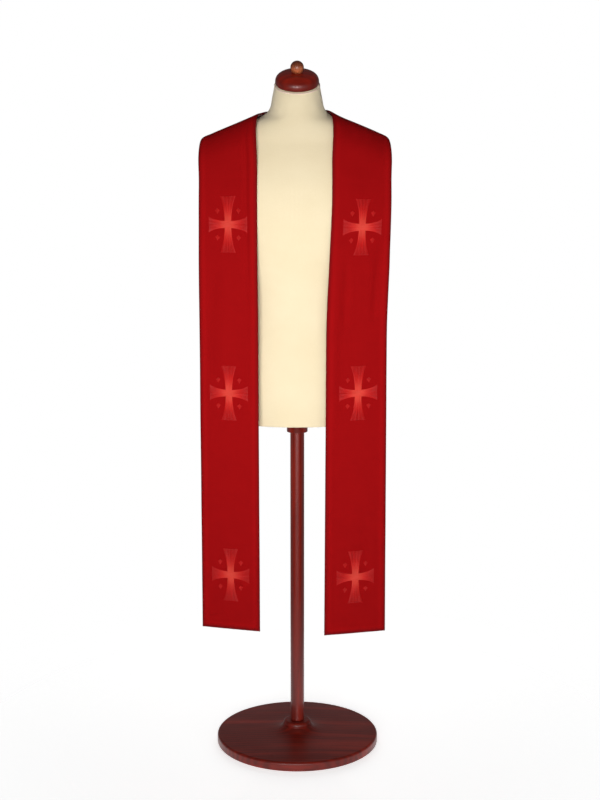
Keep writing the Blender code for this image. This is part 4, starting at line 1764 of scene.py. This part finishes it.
def make_flange():
    top = FORM_BOTTOM - SEAM_GAP
    boss = POLE_RADIUS + BOSS_WALL
    profile = [(0.0, 0.0), (FLANGE_RADIUS - EDGE_BREAK, 0.0)]
    profile += arc((FLANGE_RADIUS - EDGE_BREAK, -EDGE_BREAK), EDGE_BREAK, 90, 0, 4)
    profile += arc((FLANGE_RADIUS - LOWER_EDGE, -FLANGE_SIDE), LOWER_EDGE, 0, -90, 6)
    profile += [(boss + out, height) for out, height in FLANGE_HOLLOW]
    profile += arc((boss - EDGE_BREAK, -FLANGE_HEIGHT + EDGE_BREAK), EDGE_BREAK, 0, -90, 4)
    profile.append((0.0, -FLANGE_HEIGHT))
    return turned("flange", profile, place=(0, 0, top))


def make_pole():
    top = FORM_BOTTOM - FLANGE_HEIGHT - 2 * SEAM_GAP
    bottom = BASE_HUB_HEIGHT + SEAM_GAP
    rings = [(POLE_RADIUS, z) for z in np.linspace(top - EDGE_BREAK, bottom + EDGE_BREAK, 30)]
    inside = POLE_RADIUS - EDGE_BREAK
    profile = [(0.0, top), (inside, top), *rings, (inside, bottom), (0.0, bottom)]
    return turned("pole", profile)


stand = {"flange": make_flange(), "pole": make_pole()}
print("the pole is", round(FORM_BOTTOM - FLANGE_HEIGHT - BASE_HUB_HEIGHT, 3), "m long")

# %% [markdown]
# The base has a hub that the pole stands on, a dish that falls from it to the rim, and a rounded
# edge. The dish is a smooth curve through three points, so it has no corner of its own.

# %% Turn the base
RIM_EDGE = 0.006
HUB_EDGE = 0.008
BASE_DISH = (
    # radius, height above the rim
    (BASE_HUB_RADIUS, 0.018),
    (BASE_HUB_RADIUS + 0.012, 0.009),
    (BASE_RADIUS - 0.045, 0.002),
)


def make_base():
    hub_top = BASE_HUB_RADIUS - HUB_EDGE
    dish = [(radius, BASE_RIM_HEIGHT + above) for radius, above in BASE_DISH]
    profile = [(0.0, BASE_HUB_HEIGHT), (hub_top, BASE_HUB_HEIGHT)]
    profile += arc((hub_top, BASE_HUB_HEIGHT - HUB_EDGE), HUB_EDGE, 80, 0, 8)
    profile += [tuple(p) for p in smooth_curve(dish, 10)]
    profile += arc((BASE_RADIUS - RIM_EDGE, BASE_RIM_HEIGHT - RIM_EDGE), RIM_EDGE, 90, 0, 10)
    profile += arc((BASE_RADIUS - LOWER_EDGE, LOWER_EDGE), LOWER_EDGE, 0, -90, 6)
    profile.append((0.0, 0.0))
    return turned("base", profile)


stand["base"] = make_base()
print("faces:", {name: len(made.data.polygons) for name, made in stand.items()})

# %% [markdown]
# ## Stained and varnished wood, with painted shade
#
# The stand and the cap are stained a deep red-brown and the knob is lighter. Painted shade
# darkens the cap round its rim and the knob at its crown, where these turn away from the light.
# Both lean with the neck. A Mapping node of the TEXTURE kind undoes that, and gives each its
# upright coordinates.

# %% Painted shade on the cap's rim and the knob's crown
# How dark the painted shade on the cap's rim and on the knob's crown is, and where it begins.
PAINTED_RIM_SHADE = 0.55
PAINTED_RIM_SHADE_FROM = 0.80
PAINTED_CROWN_SHADE = 0.85
PAINTED_CROWN_SHADE_FROM = 0.15
PAINTED_CROWN_SHADE_OUT = 0.25


def upright(finish, place, foot):
    """How far from a leaning piece's axis a point is, and how far up from its foot."""
    settings = {"Vector": place, "Location": foot, "Rotation": (NECK_TILT, 0.0, 0.0)}
    own = finish.node("ShaderNodeMapping", {"vector_type": "TEXTURE"}, settings)
    x, y, z = finish.separate(own)
    return (x * x + y * y) ** 0.5, z


# Painted shade: the cap darkens towards its rim.
def paint_rim_shade(finish, place):
    out, _ = upright(finish, place, up_the_neck(SEAM_GAP))
    return finish.between(out, CAP_RADIUS * PAINTED_RIM_SHADE_FROM, CAP_RADIUS) * PAINTED_RIM_SHADE


# Painted shade: the knob darkens towards its crown and a little towards its sides.
def paint_crown_shade(finish, place):
    out, up = upright(finish, place, up_the_neck(CAP_HEIGHT + 2 * SEAM_GAP))
    crown = (up - KNOB_CENTRE) / KNOB_RADIUS + out / KNOB_RADIUS * PAINTED_CROWN_SHADE_OUT
    return finish.between(crown, PAINTED_CROWN_SHADE_FROM, 1.0) * PAINTED_CROWN_SHADE


# The place printed below is where the painted shade round the cap's rim begins.
print("the cap's rim is stained from", CAP_RADIUS * PAINTED_RIM_SHADE_FROM * 1000, "mm out")

# %% [markdown]
# Grain is noise stretched along the fibres: a Mapping node squeezes the coordinates that way, so
# the noise changes more slowly there. The fibres run up the pole and the knob, and across the
# base and the cap, which are cut from boards. A bent wave gives the yearly rings, and a broad
# noise shows how unevenly the stain soaks in. The varnish is a clear coat. On the base, the cap
# and the knob it is rubbed thinner and duller.

# %% The wood
GRAIN_UP = (1.0, 1.0, 0.09)
GRAIN_ACROSS = (0.09, 1.0, 1.0)
GLOSSY = {"Coat_Weight": 0.5, "Coat_Roughness": 0.12}
RUBBED = {"Coat_Weight": 0.20, "Coat_Roughness": 0.35}


def varnished_wood(name, deep, warm, light, grain=GRAIN_UP, painted_shade=None, varnish=RUBBED):
    finish = Finish(name, Specular_IOR_Level=0.3, **varnish)
    place = finish.place()
    along = finish.node("ShaderNodeMapping", {}, {"Vector": place, "Scale": grain})
    fibres = finish.noise(along, 210.0, detail=5.0, roughness=0.6)
    rings_input = {"Vector": along, "Scale": 26.0, "Distortion": 5.0, "Detail": 3.0}
    rings = finish.node("ShaderNodeTexWave", {"bands_direction": "Y"}, rings_input, output="Fac")
    pores = finish.between(finish.noise(along, 900.0), 0.60, 0.72)
    soaked = finish.noise(along, 34.0, detail=3.0)
    tone = finish.mix(rings * 0.55 + fibres * 0.45, deep, warm)
    tone = finish.mix(finish.between(soaked, 0.48, 0.72) * 0.6, tone, light)
    tone = finish.mix(pores * 0.5, tone, tuple(0.4 * x for x in deep))
    # Painted shade, where a mask such as the cap's rim or the knob's crown is given.
    if painted_shade:
        tone = finish.mix(painted_shade(finish, place), tone, tuple(0.45 * x for x in deep))
    finish.feed("Base Color", tone)
    finish.feed("Roughness", 0.30 + fibres * 0.12 + pores * 0.1)
    finish.relief(fibres * 0.6 - pores * 0.4, 0.00012)
    return finish.material


stand_tones = colour(78, 14, 6), colour(122, 24, 9), colour(156, 36, 16)
dark_wood = varnished_wood("dark_red_wood", *stand_tones, varnish=GLOSSY)
base_wood = varnished_wood("base_wood", *stand_tones, grain=GRAIN_ACROSS)
cap_tones = colour(104, 15, 3), colour(146, 27, 6), colour(170, 40, 14)
cap_wood = varnished_wood("cap_wood", *cap_tones, grain=GRAIN_ACROSS, painted_shade=paint_rim_shade)
knob_tones = colour(120, 55, 32), colour(184, 99, 60), colour(220, 138, 92)
knob_wood = varnished_wood("knob_wood", *knob_tones, painted_shade=paint_crown_shade)
cap.data.materials.append(cap_wood)
knob.data.materials.append(knob_wood)
for name, made in stand.items():
    made.data.materials.append(base_wood if name == "base" else dark_wood)
print("woods:", dark_wood.name, cap_wood.name, knob_wood.name)

# %% [markdown]
# ## Light, floor and world
#
# The studio is plain: large soft lights, a pale floor and a white backdrop. The main light
# stands in front, to the wearer's right and level with the waist, which is why the middle of
# the bands is brightest, and why the tops of the shoulders and the neck's far side are darker.
# The light at the back is kept out of glossy reflections, as a studio does with crossed
# polarising filters, so it draws no white rim round the wood.

# %% Place the lights
LIGHTS = (
    # name, place, aim, width, height, watts, spread in degrees
    ("key", (-0.30, -3.25, 1.08), (0.02, 0.0, 1.06), 2.0, 1.1, 15.2, 57),
    ("fill", (1.90, -2.60, 1.10), (0.0, 0.0, 1.00), 1.6, 1.8, 3.9, 120),
    ("back", (0.00, 2.90, 1.60), (0.0, 0.0, 1.10), 2.6, 2.2, 52.0, 180),
)
WITHOUT_GLARE = ("back",)


def make_lights():
    for name, place, aim, width, height, watts, spread_angle in LIGHTS:
        lamp = bpy.data.lights.new(name, "AREA")
        lamp.shape, lamp.size, lamp.size_y, lamp.energy = "RECTANGLE", width, height, watts
        lamp.spread = math.radians(spread_angle)
        thing = new_object(name, lamp)
        thing.visible_glossy = name not in WITHOUT_GLARE
        thing.location = place
        direction = Vector(aim) - Vector(place)
        thing.rotation_euler = direction.to_track_quat("-Z", "Y").to_euler()


make_lights()
print(len(LIGHTS), "lights")

# %% [markdown]
# The floor is a disc that fades out, so there is no horizon, and it glows a little, like paper
# that is lit from below. The world is white where the camera sees it, but it lights the object
# much less, as a bright backdrop far behind it would.

# %% Lay the floor and colour the world
FLOOR_PALE = 0.86
FLOOR_RADIUS = 7.0
FLOOR_FADE = (0.25, 1.10)
FLOOR_GLOW = 0.62
WORLD_SEEN = 1.0
WORLD_LIGHT = (0.24, 0.10)  # from below and from above


def make_floor():
    mesh = bpy.data.meshes.new("floor")
    disc = bmesh.new()
    bmesh.ops.create_circle(disc, cap_ends=True, segments=96, radius=FLOOR_RADIUS)
    disc.to_mesh(mesh)
    disc.free()
    finish = Finish("pale_floor", Roughness=0.9, Specular_IOR_Level=0.1, Emission_Strength=FLOOR_GLOW)
    finish.shader.inputs["Base Color"].default_value = (FLOOR_PALE, FLOOR_PALE, FLOOR_PALE, 1.0)
    finish.shader.inputs["Emission Color"].default_value = (1.0, 1.0, 1.0, 1.0)
    far = finish.vectors("LENGTH", finish.place()).other("Value")
    finish.feed("Alpha", 1 - finish.between(far, *FLOOR_FADE))
    mesh.materials.append(finish.material)
    return new_object("floor", mesh)


def make_world():
    world = bpy.data.worlds.new("pale_world")
    world.use_nodes = True
    tree = Tree(world.node_tree)
    background = tree.tree.nodes["Background"]
    background.inputs["Color"].default_value = (1.0, 1.0, 1.0, 1.0)
    _, _, rise = tree.separate(tree.node("ShaderNodeTexCoord", output="Generated"))
    low, high = WORLD_LIGHT
    light = tree.between(rise, -0.2, 0.6) * (high - low) + low
    seen = tree.node("ShaderNodeLightPath", output="Is Camera Ray")
    strength = light + seen * (WORLD_SEEN - light)
    tree.tree.links.new(strength.socket, background.inputs["Strength"])
    bpy.context.scene.world = world


make_world()
floor = make_floor()
print("the floor fades out", FLOOR_FADE[1], "m from its middle")

# %% [markdown]
# ## Handing the pieces over
#
# Every piece rides the one body and stands for the packed solid that it details. A band's cut
# size is worked out and printed: its widest place, its length up the middle, and its true area,
# summed over the cells of its own side.

# %% Attach each piece and hide its packed solid


def cut_size(name):
    """A band's widest width, its length along the middle and its area, laid flat."""
    band = bands[name]
    along, _ = grid_of(band)
    length = float(band.seam_along(np.array(0.5))) - band.hem
    front = guides[name]["front"]
    points = np.array([v.co for v in front.vertices]).reshape(*along.shape, 3)
    own = (points[:, :, 0] - STOLE_OFF_CENTRE) * band.side > 0
    step_up = points[1:, :-1] - points[:-1, :-1]
    step_out = points[:-1, 1:] - points[:-1, :-1]
    widths = np.linalg.norm(step_out, axis=2).sum(axis=1)
    cells = np.linalg.norm(np.cross(step_up, step_out), axis=2)
    square_rows = np.ptp(along, axis=1)[:-1] == 0
    return float(widths[square_rows].max()), length, float(cells[own[:-1, :-1]].sum())


def hand_over(made, slot, *nodes):
    if nodes:
        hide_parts(*nodes)
    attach(made, "root")


for name in bands:
    own_crosses = [f"{name}_{place}_cross" for place in ("upper", "middle", "lower")]
    hand_over(cloth[name], "red_cloth", f"{name}_band")
    hand_over(lining_stitches[name], "red_cloth")
    for cross in own_crosses:
        hand_over(crosses[cross], "red_cloth")
    width, length, area = cut_size(name)
    print(name, "band is cut", round(width, 4), "by", round(length, 4), "m, area", round(area, 4))
hand_over(form_cover, "cream_jersey", "dress_form")
hand_over(neck_binding, "cream_jersey")
hand_over(cap, "dark_wood", "neck_cap")
hand_over(knob, "light_wood", "cap_knob")
hand_over(stand["flange"], "dark_wood", "pole_flange")
hand_over(stand["pole"], "dark_wood", "stand_pole")
hand_over(stand["base"], "dark_wood", "stand_base")
print("every piece rides the one body")

# %% [markdown] ## The end
